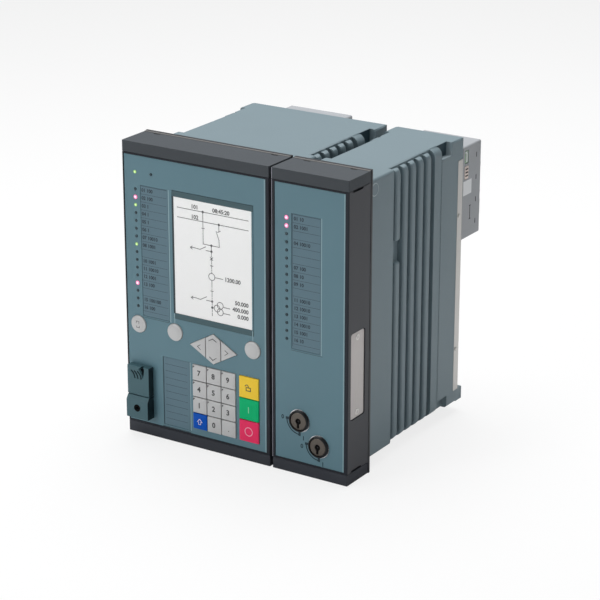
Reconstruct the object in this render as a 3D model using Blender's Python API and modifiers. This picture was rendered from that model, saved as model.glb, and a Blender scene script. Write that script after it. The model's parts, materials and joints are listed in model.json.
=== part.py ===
"""Modular protection relay: a base module with display and keypad, and an expansion module beside it.

Metres, +Z up, the operating front faces -Y. The origin is at the centre of the underside of the whole box.
Sizes below are written in a front frame: X from the left edge, Y from the bezel's front face going back,
Z from the bottom. place() turns a point of that frame into the part's own frame.
"""
import math

import bmesh
import bpy
from mathutils import Matrix, Vector

# Overall
UNIT_HEIGHT = 0.2660
RACK_UNIT = UNIT_HEIGHT / 6
BASE_WIDTH = 0.1485
COLUMN = BASE_WIDTH / 30
EXPANSION_WIDTH = 0.0740
MODULE_GAP = 0.0025
CLEARANCE = 0.0003
THROUGH = 0.0010
ROUND_SIDES = 24
SMALL_HOLE_SIDES = 16

# Bezel collars and their panels
BEZEL_DEPTH = 0.0340
BEZEL_EDGE_RADIUS = 0.0008
BEZEL_END_WALL = 0.0013
BASE_WALL_LEFT = 0.0015
BASE_WALL_RIGHT = 0.0033
EXPANSION_WALL_LEFT = 0.0028
EXPANSION_WALL_RIGHT = 0.0032
PANEL_RECESS = 0.0004
PANEL_THICKNESS = 0.0030

# Clip-on caps above and below, over the mounting slots
CAP_HEIGHT = 0.0098
CAP_INSET = 0.0006
CAP_WALL = 0.0018
CAP_EDGE_RADIUS = 0.0008
CAP_NOTCH_RADIUS = 0.0022
CAP_NOTCH_INSET = 0.0230
PRY_SLOT_LENGTH = 0.0155
PRY_SLOT_HEIGHT = 0.0016
PRY_SLOT_START = 0.0065

# Mounting flange
FLANGE_THICKNESS = 0.0024
FLANGE_WINDOW_INSET = 0.0140
FLANGE_SLOT_WIDTH = 0.0050
FLANGE_SLOT_LENGTH = 0.0100
FLANGE_SLOT_INSET = 0.0180
FLANGE_SLOT_RISE = 0.0052

# Finned housing
HOUSING_SIDE_INSET = 0.0030
HOUSING_END_INSET = 0.0105
HOUSING_DEPTH = 0.1548
HOUSING_EDGE_RADIUS = 0.0025
RIB_EDGE_RADIUS = 0.0070
RIB_STEP = 0.0003
HOUSING_WALL = 0.0030
FIN_DEPTH = 0.0062
FIN_COUNT = 5
FIN_ZONE_START = 0.0385
FIN_PITCH = 0.0128
GROOVE_WIDTH = 0.0050
LAST_RIB_LENGTH = 0.0120
FIRST_FIN_GAP_DROP = 0.0640
FIRST_FIN_GAP_LENGTH = 0.0185
NOTCH_LENGTH = 0.0170
NOTCH_DEPTH = 0.0060
NOTCH_HEIGHT = 0.0115
FOOT_LENGTH = 0.0095
RABBET_LENGTH = 0.0068

# Rear plate
PLATE_THICKNESS = 0.0015
PLATE_BOTTOM = 0.0225
PLATE_TOP_INSET = 0.0300

# Display
DISPLAY_LEFT = 10.2828 * COLUMN
DISPLAY_WIDTH = 16.4848 * COLUMN
DISPLAY_BOTTOM = 2.5985 * RACK_UNIT
DISPLAY_HEIGHT = 2.5669 * RACK_UNIT
DISPLAY_SIDE_BAND = 0.0014
DISPLAY_END_BAND = 0.0050
DISPLAY_SINK = 0.0006

# Status lights and their label strips
LIGHT_RADIUS = 0.0012
LIGHT_SIDES = 8
LIGHT_PITCH = 0.1579 * RACK_UNIT
LIGHT_COUNT = 16
LIGHT_PROUD = 0.0002
BASE_LIGHT_X = 2.6263 * COLUMN
BASE_LIGHT_TOP = 5.0549 * RACK_UNIT
EXPANSION_LIGHT_INSET = 0.0144
EXPANSION_LIGHT_TOP = 5.0774 * RACK_UNIT
STATE_LIGHT_RISE = 0.0151
STATE_LIGHT_SPACING = 0.0166
LIGHT_BAR_WIDTH = 0.0044
LABEL_POCKET_DEPTH = 0.0010
LABEL_THICKNESS = 0.0005
BASE_LABEL_LEFT = 3.6364 * COLUMN
EXPANSION_LABEL_INSET = 0.0190
LABEL_WIDTH = 5.7374 * COLUMN
LABEL_HEIGHT = 2.6459 * RACK_UNIT
LABEL_RISE = 0.6 * LIGHT_PITCH
FUNCTION_LABEL_LEFT = 7.7576 * COLUMN
FUNCTION_LABEL_BOTTOM = 0.3271 * RACK_UNIT
FUNCTION_LABEL_WIDTH = 5.6162 * COLUMN
FUNCTION_LABEL_HEIGHT = 1.4278 * RACK_UNIT

# Keys
KEY_TRAVEL = 0.0006
KEY_PROUD = 0.0012
KEY_REACH = 0.0050
KEY_EDGE_RADIUS = 0.0005
KEY_GAP = 0.0007
KEY_ROW_PITCH = 0.3361 * RACK_UNIT
KEY_COLUMN_PITCH = 3.0101 * COLUMN
KEYPAD_LEFT = 14.0404 * COLUMN
KEYPAD_BOTTOM = 0.4105 * RACK_UNIT
KEYPAD_ROWS = (("key_7", "key_8", "key_9"), ("key_4", "key_5", "key_6"),
               ("key_1", "key_2", "key_3"), ("key_fn", "key_0", "key_point"))
CONTROL_LEFT = 23.7576 * COLUMN
CONTROL_WIDTH = 4.1010 * COLUMN
CONTROL_PITCH = 4 / 3 * KEY_ROW_PITCH
CONTROL_KEYS = ("key_ctrl", "key_close", "key_open")
ROUND_KEY_RADIUS = 0.0078
ROUND_KEY_HEIGHT = 2.3143 * RACK_UNIT
ROUND_KEYS = {"key_select": 2.6869 * COLUMN, "soft_key_left": 10.4646 * COLUMN,
              "soft_key_right": 26.5657 * COLUMN}
NAV_X = 18.5051 * COLUMN
NAV_Z = 2.1474 * RACK_UNIT
NAV_HALF_WIDTH = 4.8687 * COLUMN
NAV_HALF_HEIGHT = 0.3068 * RACK_UNIT
NAV_ROCKER_HALF_WIDTH = 1.5758 * COLUMN
ROCKER_AXIS_DEPTH = 0.0019
MAT_THICKNESS = 0.0023
MAT_RIGHT_INSET = 0.0060
MAT_HEIGHT = 2.1992 * RACK_UNIT
MAT_LEFT = 0.0310
SELECT_TAB_HEIGHT = 0.0220

# Key switches
LOCK_INSETS = ((0.0270, 0.0493), (0.0461, 0.0301))
LOCK_RING_RADIUS = 0.0095
LOCK_RING_PROUD = 0.0028
LOCK_RING_CHAMFER = 0.0008
LOCK_BODY_RADIUS = 0.0078
LOCK_BODY_DEPTH = 0.0230
LOCK_BARREL_RADIUS = 0.0060
LOCK_BARREL_SINK = 0.0004
KEYWAY_WIDTH = 0.0018
KEYWAY_LENGTH = 0.0075
KEYWAY_DEPTH = 0.0120

# Service port
PORT_LEFT = 0.0045
PORT_WIDTH = 0.0230
PORT_BOTTOM = 0.0180
PORT_LOWER_HEIGHT = 0.0203
PORT_LOWER_PROUD = 0.0095
PORT_LEDGE = 0.0042
PORT_HOLE_RADIUS = 0.0022
PORT_HOLE_DEPTH = 0.0070
PORT_HOLE_RISE = 0.0098
FLAP_PROUD = 0.0070
FLAP_HEIGHT = 0.0265
FLAP_WALL = 0.0015
FLAP_HINGE_INSET = 0.0008
FLAP_GAP = 0.0008
FINGER_POCKET_LEFT = 0.0090
FINGER_POCKET_WIDTH = 0.0085
FINGER_POCKET_HEIGHT = 0.0085
FINGER_POCKET_DEPTH = 0.0030
GRIP_COUNT = 4
GRIP_PITCH = 0.0015
GRIP_LENGTH = 0.0060
GRIP_WIDTH = 0.0007
GRIP_DEPTH = 0.0008
SOCKET_WIDTH = 0.0120
SOCKET_HEIGHT = 0.0108
SOCKET_DEPTH = 0.0160
SOCKET_RISE = 0.0315
SOCKET_WALL = 0.0016
SOCKET_TONGUE_WIDTH = 0.0056
SOCKET_TONGUE_HEIGHT = 0.0032

# Side cover plate on the expansion bezel
SIDE_PLATE_LENGTH = 0.0210
SIDE_PLATE_HEIGHT = 0.0750
SIDE_PLATE_START = 0.0055
SIDE_PLATE_BOTTOM = 0.0580
SIDE_PLATE_THICKNESS = 0.0010
SIDE_PLATE_SINK = 0.0008
SIDE_PLATE_CORNER = 0.0020

# Connector block between the two modules, through their bezels
LINK_START = 0.0110
LINK_DEPTH = 0.0130
LINK_BOTTOM = 0.0650
LINK_HEIGHT = 0.0600
LINK_REACH = 0.0060

# Fasteners
SCREW_HEAD_RADIUS = 0.0020
SCREW_HEAD_HEIGHT = 0.0006
SCREW_SHANK_RADIUS = 0.0012
SCREW_LENGTH = 0.0030
SIDE_SCREW_LENGTH = 0.0020
SCREW_SIDES = 8
SCREW_CROWN = 0.7
SCREW_SEAT = 0.00025
SIDE_SCREW_INSET = 0.0045
PLATE_SCREW_SPOTS = (0.185, 0.766)

# Rear connectors
TERMINAL_DEPTH = 0.0320
TERMINAL_NECK_INSET = 0.0060
TERMINAL_EDGE_RADIUS = 0.0010
WIRE_HOLE = 0.0036
WIRE_HOLE_DEPTH = 0.0150
WIRE_PITCH = 0.0100
WIRE_COLUMN_INSET = 0.0130
BASE_VOLTAGE_LEFT = 4.8485 * COLUMN
BASE_VOLTAGE_WIDTH = 13.3333 * COLUMN
BASE_VOLTAGE_DROP = 0.0070
TERMINAL_HEIGHT = 0.0845
BASE_CURRENT_LEFT = 19.7980 * COLUMN
BASE_CURRENT_WIDTH = 8.0808 * COLUMN
EXPANSION_VOLTAGE_INSET = 0.0130
EXPANSION_VOLTAGE_WIDTH = 0.0580
EXPANSION_VOLTAGE_DROP = 0.0095
SIDE_WINDOW_HEIGHT = 0.0120
SIDE_WINDOW_LENGTH = 0.0070
SIDE_WINDOW_START = 0.0030
SIDE_WINDOW_DROP = 0.0040
SIDE_WINDOW_SPACING = 0.0020
SIDE_WINDOW_DEPTH = 0.0015
NETWORK_LEFT = 4.8485 * COLUMN
NETWORK_WIDTH = 8.4848 * COLUMN
NETWORK_BOTTOM = 0.0320
NETWORK_HEIGHT = 0.0640
NETWORK_PROUD = 0.0060
JACK_WIDTH = 0.0118
JACK_HEIGHT = 0.0100
JACK_DEPTH = 0.0140
JACK_COUNT = 2
JACK_PITCH = 0.0240

# Boards
BOARD_THICKNESS = 0.0016
FRONT_BOARD_END_INSET = 0.0150
FRONT_BOARD_INSET = 0.0045
LED_BOARD_BOTTOM = 0.0700
PROCESSOR_BOARD_X = 0.0200
INPUT_BOARD_X = 14.1414 * COLUMN
EXPANSION_BOARD_INSET = 0.0390
TONGUE_BOTTOM = 0.1250
TONGUE_HEIGHT = 0.0500
TONGUE_OVERLAP = 0.0100
BOARD_LENGTH = 0.1290
COMPONENT_START = 0.0120
COMPONENT_BOTTOM = 0.1100
CHIP = (0.0400, 0.1680, 0.0080)
POWER_SUPPLY = (0.0300, 0.2100, 0.0120)
CHIP_HEIGHT = 0.5500
POWER_SUPPLY_HEIGHT = 0.2000
POWER_SUPPLY_START = 0.0550
TRANSFORMER = (0.0300, 0.1510, 0.0260)
TRANSFORMER_PITCH = 0.0360
TRANSFORMER_STEP = 0.1690
TRANSFORMER_ROWS = 4
TRANSFORMER_COLUMNS = 3
RELAY = (0.0140, 0.1170, 0.0120)
RELAY_PITCH = 0.0200
RELAY_STEP = 0.1280
RELAY_COUNT = 5

# Places worked out from the sizes
UNIT_WIDTH = BASE_WIDTH + MODULE_GAP + EXPANSION_WIDTH
EXPANSION_LEFT = BASE_WIDTH + MODULE_GAP
EXPANSION_LIGHT_X = EXPANSION_LEFT + EXPANSION_LIGHT_INSET
EXPANSION_LABEL_LEFT = EXPANSION_LEFT + EXPANSION_LABEL_INSET
EXPANSION_VOLTAGE_LEFT = EXPANSION_LEFT + EXPANSION_VOLTAGE_INSET
EXPANSION_BOARD_X = EXPANSION_LEFT + EXPANSION_BOARD_INSET
LOCK_CENTRES = tuple((EXPANSION_LEFT + inset, height) for inset, height in LOCK_INSETS)
PANEL_FRONT = PANEL_RECESS
PANEL_BACK = PANEL_FRONT + PANEL_THICKNESS
BEZEL_BOTTOM = CAP_INSET + CAP_HEIGHT + CLEARANCE
BEZEL_TOP = UNIT_HEIGHT - BEZEL_BOTTOM
PANEL_BOTTOM = BEZEL_BOTTOM + BEZEL_END_WALL + CLEARANCE
PANEL_TOP = UNIT_HEIGHT - PANEL_BOTTOM
FLANGE_FRONT = BEZEL_DEPTH + CLEARANCE
FLANGE_BACK = FLANGE_FRONT + FLANGE_THICKNESS
HOUSING_FRONT = FLANGE_BACK + CLEARANCE
HOUSING_BOTTOM = HOUSING_END_INSET
HOUSING_TOP = UNIT_HEIGHT - HOUSING_END_INSET
HOUSING_REAR = HOUSING_FRONT + HOUSING_DEPTH
PLATE_BACK = HOUSING_REAR + CLEARANCE + PLATE_THICKNESS
PLATE_TOP = UNIT_HEIGHT - PLATE_TOP_INSET
BASE_VOLTAGE_BOTTOM = HOUSING_TOP - BASE_VOLTAGE_DROP - TERMINAL_HEIGHT
EXPANSION_VOLTAGE_BOTTOM = HOUSING_TOP - EXPANSION_VOLTAGE_DROP - TERMINAL_HEIGHT
FIRST_FIN_GAP_HIGH = HOUSING_TOP - FIRST_FIN_GAP_DROP
FIRST_FIN_GAP_LOW = FIRST_FIN_GAP_HIGH - FIRST_FIN_GAP_LENGTH
TERMINAL_FRONT = PLATE_BACK + CLEARANCE
TERMINAL_BACK = TERMINAL_FRONT + TERMINAL_DEPTH
KEY_BACK = KEY_REACH
MAT_FRONT = KEY_BACK + KEY_TRAVEL + CLEARANCE
MAT_BACK = MAT_FRONT + MAT_THICKNESS
FRONT_BOARD_FRONT = MAT_BACK + CLEARANCE
FRONT_BOARD_BACK = FRONT_BOARD_FRONT + BOARD_THICKNESS
BOARD_REAR = HOUSING_FRONT + BOARD_LENGTH
NECK_FRONT = BOARD_REAR + CLEARANCE
FRONT_REACH = PORT_LOWER_PROUD - PANEL_FRONT
DEPTH_CENTRE = (TERMINAL_BACK - FRONT_REACH) / 2

TEAL = ((0.127, 0.216, 0.246, 1), 0.45, 0.0)
DARK_TEAL = ((0.070, 0.140, 0.155, 1), 0.50, 0.0)
BLACK_PLASTIC = ((0.050, 0.052, 0.056, 1), 0.50, 0.0)
CAST_METAL = ((0.155, 0.215, 0.240, 1), 0.50, 0.1)
BARE_METAL = ((0.520, 0.500, 0.490, 1), 0.35, 1.0)
FLANGE_METAL = ((0.050, 0.055, 0.060, 1), 0.45, 0.3)
SILVER_KEY = ((0.620, 0.610, 0.590, 1), 0.35, 0.2)
YELLOW_KEY = ((0.800, 0.520, 0.020, 1), 0.40, 0.0)
GREEN_KEY = ((0.010, 0.350, 0.120, 1), 0.40, 0.0)
RED_KEY = ((0.650, 0.020, 0.090, 1), 0.40, 0.0)
BLUE_KEY = ((0.010, 0.050, 0.350, 1), 0.40, 0.0)
SCREEN = ((0.800, 0.810, 0.790, 1), 0.25, 0.0)
LENS = ((0.300, 0.320, 0.300, 1), 0.20, 0.0)
LABEL = ((0.110, 0.170, 0.210, 1), 0.60, 0.0)
GREY_PLASTIC = ((0.130, 0.140, 0.160, 1), 0.55, 0.0)
BOARD = ((0.020, 0.120, 0.060, 1), 0.45, 0.0)
RUBBER = ((0.080, 0.080, 0.085, 1), 0.80, 0.0)


def clear_scene():
    for item in list(bpy.data.objects):
        bpy.data.objects.remove(item, do_unlink=True)


def new_collection(name):
    collection = bpy.data.collections.new(name)
    bpy.context.scene.collection.children.link(collection)
    return collection


clear_scene()
PARTS = new_collection("protection_relay")
CUTTERS = new_collection("cutters")


def place(x, y, z):
    """A point of the front frame in the part's own frame."""
    return Vector((x - UNIT_WIDTH / 2, y - DEPTH_CENTRE, z))


def material(name, look):
    colour, roughness, metallic = look
    result = bpy.data.materials.new(name)
    result.use_nodes = True
    shader = result.node_tree.nodes["Principled BSDF"]
    shader.inputs["Base Color"].default_value = colour
    shader.inputs["Roughness"].default_value = roughness
    shader.inputs["Metallic"].default_value = metallic
    return result


def add_box(mesh, low, high):
    """A box between two corners of the front frame."""
    low, high = place(*low), place(*high)
    size = high - low
    matrix = Matrix.Translation((low + high) / 2) @ Matrix.Diagonal((*size, 1))
    return bmesh.ops.create_cube(mesh, size=1, matrix=matrix)["verts"]


def add_cylinder(mesh, centre, radius, low, high, sides, axis="Y"):
    """A cylinder along one axis of the front frame, from low to high on that axis."""
    start = list(centre)
    index = "XYZ".index(axis)
    start[index] = (low + high) / 2
    turn = {"X": Matrix.Rotation(math.pi / 2, 4, "Y"), "Y": Matrix.Rotation(math.pi / 2, 4, "X"),
            "Z": Matrix.Identity(4)}[axis]
    matrix = Matrix.Translation(place(*start)) @ turn
    return bmesh.ops.create_cone(mesh, cap_ends=True, segments=sides, radius1=radius, radius2=radius,
                                 depth=high - low, matrix=matrix)["verts"]


def finish(name, mesh, look, origin=None):
    """Turn a bmesh into a named object, with its origin at a point of the front frame."""
    data = bpy.data.meshes.new(name)
    origin = place(*origin) if origin else Vector((0, 0, 0))
    bmesh.ops.translate(mesh, verts=mesh.verts, vec=-origin)
    bmesh.ops.recalc_face_normals(mesh, faces=mesh.faces)
    mesh.to_mesh(data)
    mesh.free()
    item = bpy.data.objects.new(name, data)
    item.location = origin
    if look:
        data.materials.append(material(name, look))
        PARTS.objects.link(item)
    else:
        item.hide_render = True
        item.display_type = "WIRE"
        CUTTERS.objects.link(item)
    return item


def boxes(name, corners, look, origin=None):
    mesh = bmesh.new()
    for low, high in corners:
        add_box(mesh, low, high)
    return finish(name, mesh, look, origin)


def boolean(item, other, operation="DIFFERENCE"):
    modifier = item.modifiers.new(other.name, "BOOLEAN")
    modifier.operation = operation
    modifier.object = other
    modifier.solver = "EXACT"
    return modifier


def bevel(item, width, segments=1, angle=0.6):
    modifier = item.modifiers.new("rounded edges", "BEVEL")
    modifier.width = width
    modifier.segments = segments
    modifier.limit_method = "ANGLE"
    modifier.angle_limit = angle
    return modifier


def bevel_along(mesh, verts, axis, width, segments):
    """Round the edges of a fresh box that run along one axis."""
    index = "XYZ".index(axis)
    edges = set()
    for vert in verts:
        for edge in vert.link_edges:
            direction = edge.verts[1].co - edge.verts[0].co
            if abs(direction[index]) > 0.99 * direction.length:
                edges.add(edge)
    bmesh.ops.bevel(mesh, geom=list(edges), offset=width, segments=segments, affect="EDGES", profile=0.5)


def outline_solid(mesh, points, low, high):
    """A flat outline in X and Z, given a thickness along Y, made from a filled 2D curve."""
    curve = bpy.data.curves.new("outline", "CURVE")
    curve.dimensions = "2D"
    curve.fill_mode = "BOTH"
    curve.extrude = (high - low) / 2
    spline = curve.splines.new("POLY")
    spline.points.add(len(points) - 1)
    for target, (x, z) in zip(spline.points, points):
        target.co = (x, z, 0, 1)
    spline.use_cyclic_u = True
    holder = bpy.data.objects.new("outline", curve)
    bpy.context.scene.collection.objects.link(holder)
    bpy.context.view_layer.update()
    flat = bpy.data.meshes.new_from_object(holder.evaluated_get(bpy.context.evaluated_depsgraph_get()))
    bpy.data.objects.remove(holder, do_unlink=True)
    before = set(mesh.verts)
    mesh.from_mesh(flat)
    bpy.data.meshes.remove(flat)
    verts = [vert for vert in mesh.verts if vert not in before]
    bmesh.ops.transform(mesh, verts=verts, matrix=Matrix.Translation(place(0, (low + high) / 2, 0))
                        @ Matrix.Rotation(math.pi / 2, 4, "X"))
    bmesh.ops.remove_doubles(mesh, verts=verts, dist=0.00001)


class Module:
    """One module's place across the front."""

    def __init__(self, name, left, width, wall_left, wall_right):
        self.name = name
        self.left = left
        self.right = left + width
        self.middle = left + width / 2
        self.panel_left = left + wall_left + CLEARANCE
        self.panel_right = self.right - wall_right - CLEARANCE
        self.housing_left = left + HOUSING_SIDE_INSET
        self.housing_right = self.right - HOUSING_SIDE_INSET
        self.cavity_left = self.housing_left + FIN_DEPTH + HOUSING_WALL
        self.cavity_right = self.housing_right - FIN_DEPTH - HOUSING_WALL


BASE = Module("base", 0, BASE_WIDTH, BASE_WALL_LEFT, BASE_WALL_RIGHT)
EXPANSION = Module("expansion", EXPANSION_LEFT, EXPANSION_WIDTH, EXPANSION_WALL_LEFT, EXPANSION_WALL_RIGHT)
MODULES = (BASE, EXPANSION)


def make_bezel(module):
    """The collar round the panel, open at the front and the back."""
    name = f"{module.name}_bezel"
    mesh = bmesh.new()
    verts = add_box(mesh, (module.left, 0, BEZEL_BOTTOM), (module.right, BEZEL_DEPTH, BEZEL_TOP))
    bevel_along(mesh, verts, "Z", BEZEL_EDGE_RADIUS, 2)
    bezel = finish(name, mesh, BLACK_PLASTIC)
    inside = boxes(f"{name}_inside", [
        ((module.panel_left - CLEARANCE, -THROUGH, PANEL_BOTTOM - CLEARANCE),
         (module.panel_right + CLEARANCE, BEZEL_DEPTH + THROUGH, PANEL_TOP + CLEARANCE))], None)
    boolean(bezel, inside)
    slots = []
    for low, high in ((BEZEL_BOTTOM - THROUGH, BEZEL_BOTTOM + PRY_SLOT_HEIGHT),
                      (BEZEL_TOP - PRY_SLOT_HEIGHT, BEZEL_TOP + THROUGH)):
        slots.append(((module.panel_right, PRY_SLOT_START, low),
                      (module.right + THROUGH, PRY_SLOT_START + PRY_SLOT_LENGTH, high)))
    boolean(bezel, boxes(f"{name}_pry_slots", slots, None))
    return bezel


def make_cap(module, top):
    """A clip-on cap: front, sides and outer face, open to the back and towards the bezel."""
    name = f"{module.name}_{'top' if top else 'bottom'}_cap"
    low = UNIT_HEIGHT - CAP_INSET - CAP_HEIGHT if top else CAP_INSET
    high = low + CAP_HEIGHT
    mesh = bmesh.new()
    verts = add_box(mesh, (module.left, 0, low), (module.right, BEZEL_DEPTH, high))
    bevel_along(mesh, verts, "Z", CAP_EDGE_RADIUS, 2)
    cap = finish(name, mesh, BLACK_PLASTIC)
    hollow_low = low - THROUGH if top else low + CAP_WALL
    hollow_high = high - CAP_WALL if top else high + THROUGH
    boolean(cap, boxes(f"{name}_hollow", [
        ((module.left + CAP_WALL, CAP_WALL, hollow_low),
         (module.right - CAP_WALL, BEZEL_DEPTH + THROUGH, hollow_high))], None))
    mesh = bmesh.new()
    for x in (module.left + CAP_NOTCH_INSET, module.right - CAP_NOTCH_INSET):
        add_cylinder(mesh, (x, BEZEL_DEPTH, 0), CAP_NOTCH_RADIUS, low - THROUGH, high + THROUGH,
                     SMALL_HOLE_SIDES, "Z")
    boolean(cap, finish(f"{name}_notches", mesh, None))
    return cap


def make_flange(module):
    """The sheet metal flange that is screwed to the cubicle, with a window for the connections."""
    name = f"{module.name}_flange"
    flange = boxes(name, [((module.left, FLANGE_FRONT, 0), (module.right, FLANGE_BACK, UNIT_HEIGHT))],
                   FLANGE_METAL)
    reach = (FLANGE_FRONT - THROUGH, FLANGE_BACK + THROUGH)
    corners = [((module.left + FLANGE_WINDOW_INSET, reach[0], HOUSING_BOTTOM + FLANGE_WINDOW_INSET),
                (module.right - FLANGE_WINDOW_INSET, reach[1], HOUSING_TOP - FLANGE_WINDOW_INSET))]
    for x in (module.left + FLANGE_SLOT_INSET, module.right - FLANGE_SLOT_INSET):
        for z in (FLANGE_SLOT_RISE, UNIT_HEIGHT - FLANGE_SLOT_RISE):
            corners.append(((x - FLANGE_SLOT_LENGTH / 2, reach[0], z - FLANGE_SLOT_WIDTH / 2),
                            (x + FLANGE_SLOT_LENGTH / 2, reach[1], z + FLANGE_SLOT_WIDTH / 2)))
    boolean(flange, boxes(f"{name}_openings", corners, None))
    return flange


def rounded_tube(mesh, module, inset, y_low, y_high, radius):
    """A block of the housing's section, rounded along its length."""
    verts = add_box(mesh, (module.housing_left + inset, y_low, HOUSING_BOTTOM + inset),
                    (module.housing_right - inset, y_high, HOUSING_TOP - inset))
    bevel_along(mesh, verts, "Y", radius, 3)


def groove_places():
    first = HOUSING_FRONT + FIN_ZONE_START
    return [first + FIN_PITCH * index for index in range(FIN_COUNT + 1)]


def make_housing(module):
    """The cast housing: a tube open at both ends, with upright cooling fins down both sides."""
    name = f"{module.name}_housing"
    ribs_end = groove_places()[-1] + GROOVE_WIDTH + LAST_RIB_LENGTH
    mesh = bmesh.new()
    rounded_tube(mesh, module, 0, HOUSING_FRONT, groove_places()[0], HOUSING_EDGE_RADIUS)
    housing = finish(name, mesh, CAST_METAL)
    mesh = bmesh.new()
    rounded_tube(mesh, module, RIB_STEP, HOUSING_FRONT + THROUGH, ribs_end + THROUGH, RIB_EDGE_RADIUS)
    boolean(housing, finish(f"{name}_ribbed_part", mesh, None), "UNION")
    mesh = bmesh.new()
    rounded_tube(mesh, module, 0, ribs_end, HOUSING_REAR, HOUSING_EDGE_RADIUS)
    boolean(housing, finish(f"{name}_rear_part", mesh, None), "UNION")
    boolean(housing, boxes(f"{name}_cavity", [
        ((module.cavity_left, HOUSING_FRONT - THROUGH, HOUSING_BOTTOM + HOUSING_WALL),
         (module.cavity_right, HOUSING_REAR + THROUGH, HOUSING_TOP - HOUSING_WALL))], None))
    grooves = []
    for index, y in enumerate(groove_places()):
        grooves.append(((module.housing_left - THROUGH, y, HOUSING_BOTTOM - THROUGH),
                        (module.housing_left + FIN_DEPTH, y + GROOVE_WIDTH, HOUSING_TOP + THROUGH)))
        grooves.append(((module.housing_right - FIN_DEPTH, y, HOUSING_BOTTOM - THROUGH),
                        (module.housing_right + THROUGH, y + GROOVE_WIDTH, HOUSING_TOP + THROUGH)))
    boolean(housing, boxes(f"{name}_grooves", grooves, None))
    first = groove_places()[0] + GROOVE_WIDTH / 2
    boolean(housing, boxes(f"{name}_first_fin_gap", [
        ((module.housing_right - FIN_DEPTH, first, FIRST_FIN_GAP_LOW),
         (module.housing_right + THROUGH, first + FIN_PITCH, FIRST_FIN_GAP_HIGH))], None))

    notches = []
    for x_low, x_high in ((module.housing_left - THROUGH, module.housing_left + NOTCH_DEPTH),
                          (module.housing_right - NOTCH_DEPTH, module.housing_right + THROUGH)):
        for z_low, z_high in ((HOUSING_BOTTOM - THROUGH, HOUSING_BOTTOM + NOTCH_HEIGHT),
                              (HOUSING_TOP - NOTCH_HEIGHT, HOUSING_TOP + THROUGH)):
            notches.append(((x_low, ribs_end, z_low), (x_high, ribs_end + NOTCH_LENGTH, z_high)))
    boolean(housing, boxes(f"{name}_notches", notches, None))

    rabbets = []
    inset = PLATE_THICKNESS + CLEARANCE
    for x_low, x_high in ((module.housing_left - THROUGH, module.housing_left + inset),
                          (module.housing_right - inset, module.housing_right + THROUGH)):
        rabbets.append(((x_low, HOUSING_REAR - RABBET_LENGTH, PLATE_BOTTOM - CLEARANCE),
                        (x_high, HOUSING_REAR + THROUGH, PLATE_TOP + CLEARANCE)))
    boolean(housing, boxes(f"{name}_rabbets", rabbets, None))
    boolean(housing, boxes(f"{name}_rear_ends", [
        ((module.housing_left + HOUSING_EDGE_RADIUS, HOUSING_REAR - THROUGH, HOUSING_BOTTOM + RIB_STEP),
         (module.housing_right - RIB_STEP, HOUSING_REAR + FOOT_LENGTH, PLATE_BOTTOM - CLEARANCE)),
        ((module.housing_left + HOUSING_EDGE_RADIUS, HOUSING_REAR - THROUGH, PLATE_TOP + CLEARANCE),
         (module.housing_right - RIB_STEP, PLATE_BACK, HOUSING_TOP - RIB_STEP))], None), "UNION")
    boolean(housing, plate_screw_holes(module))
    return housing


def plate_screw_places(module):
    """Where the rear plate's lips are screwed to the housing: the side, its direction and the height."""
    y = HOUSING_REAR - RABBET_LENGTH / 2
    places = []
    for spot in PLATE_SCREW_SPOTS:
        z = PLATE_BOTTOM + spot * (PLATE_TOP - PLATE_BOTTOM)
        places.append((module.housing_left, y, z, -1))
        places.append((module.housing_right, y, z, 1))
    return places


def plate_screw_holes(module):
    mesh = bmesh.new()
    for x, y, z, side in plate_screw_places(module):
        inner, outer = x - side * (SCREW_LENGTH + CLEARANCE), x + side * THROUGH
        add_cylinder(mesh, (x, y, z), SCREW_SHANK_RADIUS + CLEARANCE, min(inner, outer), max(inner, outer),
                     SCREW_SIDES, "X")
    return finish(f"{module.name}_screw_holes", mesh, None)


def neck_corners(block, grow=0.0):
    """The plug neck through the rear plate into the cavity, grown on all sides where it is cut."""
    owner, left, width, bottom, height = block
    low_x = max(left + TERMINAL_NECK_INSET, owner.cavity_left + 2 * CLEARANCE)
    high_x = min(left + width - TERMINAL_NECK_INSET, owner.cavity_right - 2 * CLEARANCE)
    low_z = max(bottom, PLATE_BOTTOM) + TERMINAL_NECK_INSET
    high_z = min(bottom + height, PLATE_TOP) - TERMINAL_NECK_INSET
    return ((low_x - grow, NECK_FRONT - grow, low_z - grow),
            (high_x + grow, TERMINAL_FRONT + THROUGH, high_z + grow))


REAR_BLOCKS = {
    "base_voltage_terminal": (BASE, BASE_VOLTAGE_LEFT, BASE_VOLTAGE_WIDTH,
                              BASE_VOLTAGE_BOTTOM, TERMINAL_HEIGHT),
    "base_current_terminal": (BASE, BASE_CURRENT_LEFT, BASE_CURRENT_WIDTH, NETWORK_BOTTOM, TERMINAL_HEIGHT),
    "network_module": (BASE, NETWORK_LEFT, NETWORK_WIDTH, NETWORK_BOTTOM, NETWORK_HEIGHT),
    "expansion_voltage_terminal": (EXPANSION, EXPANSION_VOLTAGE_LEFT, EXPANSION_VOLTAGE_WIDTH,
                                   EXPANSION_VOLTAGE_BOTTOM, TERMINAL_HEIGHT),
}


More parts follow.
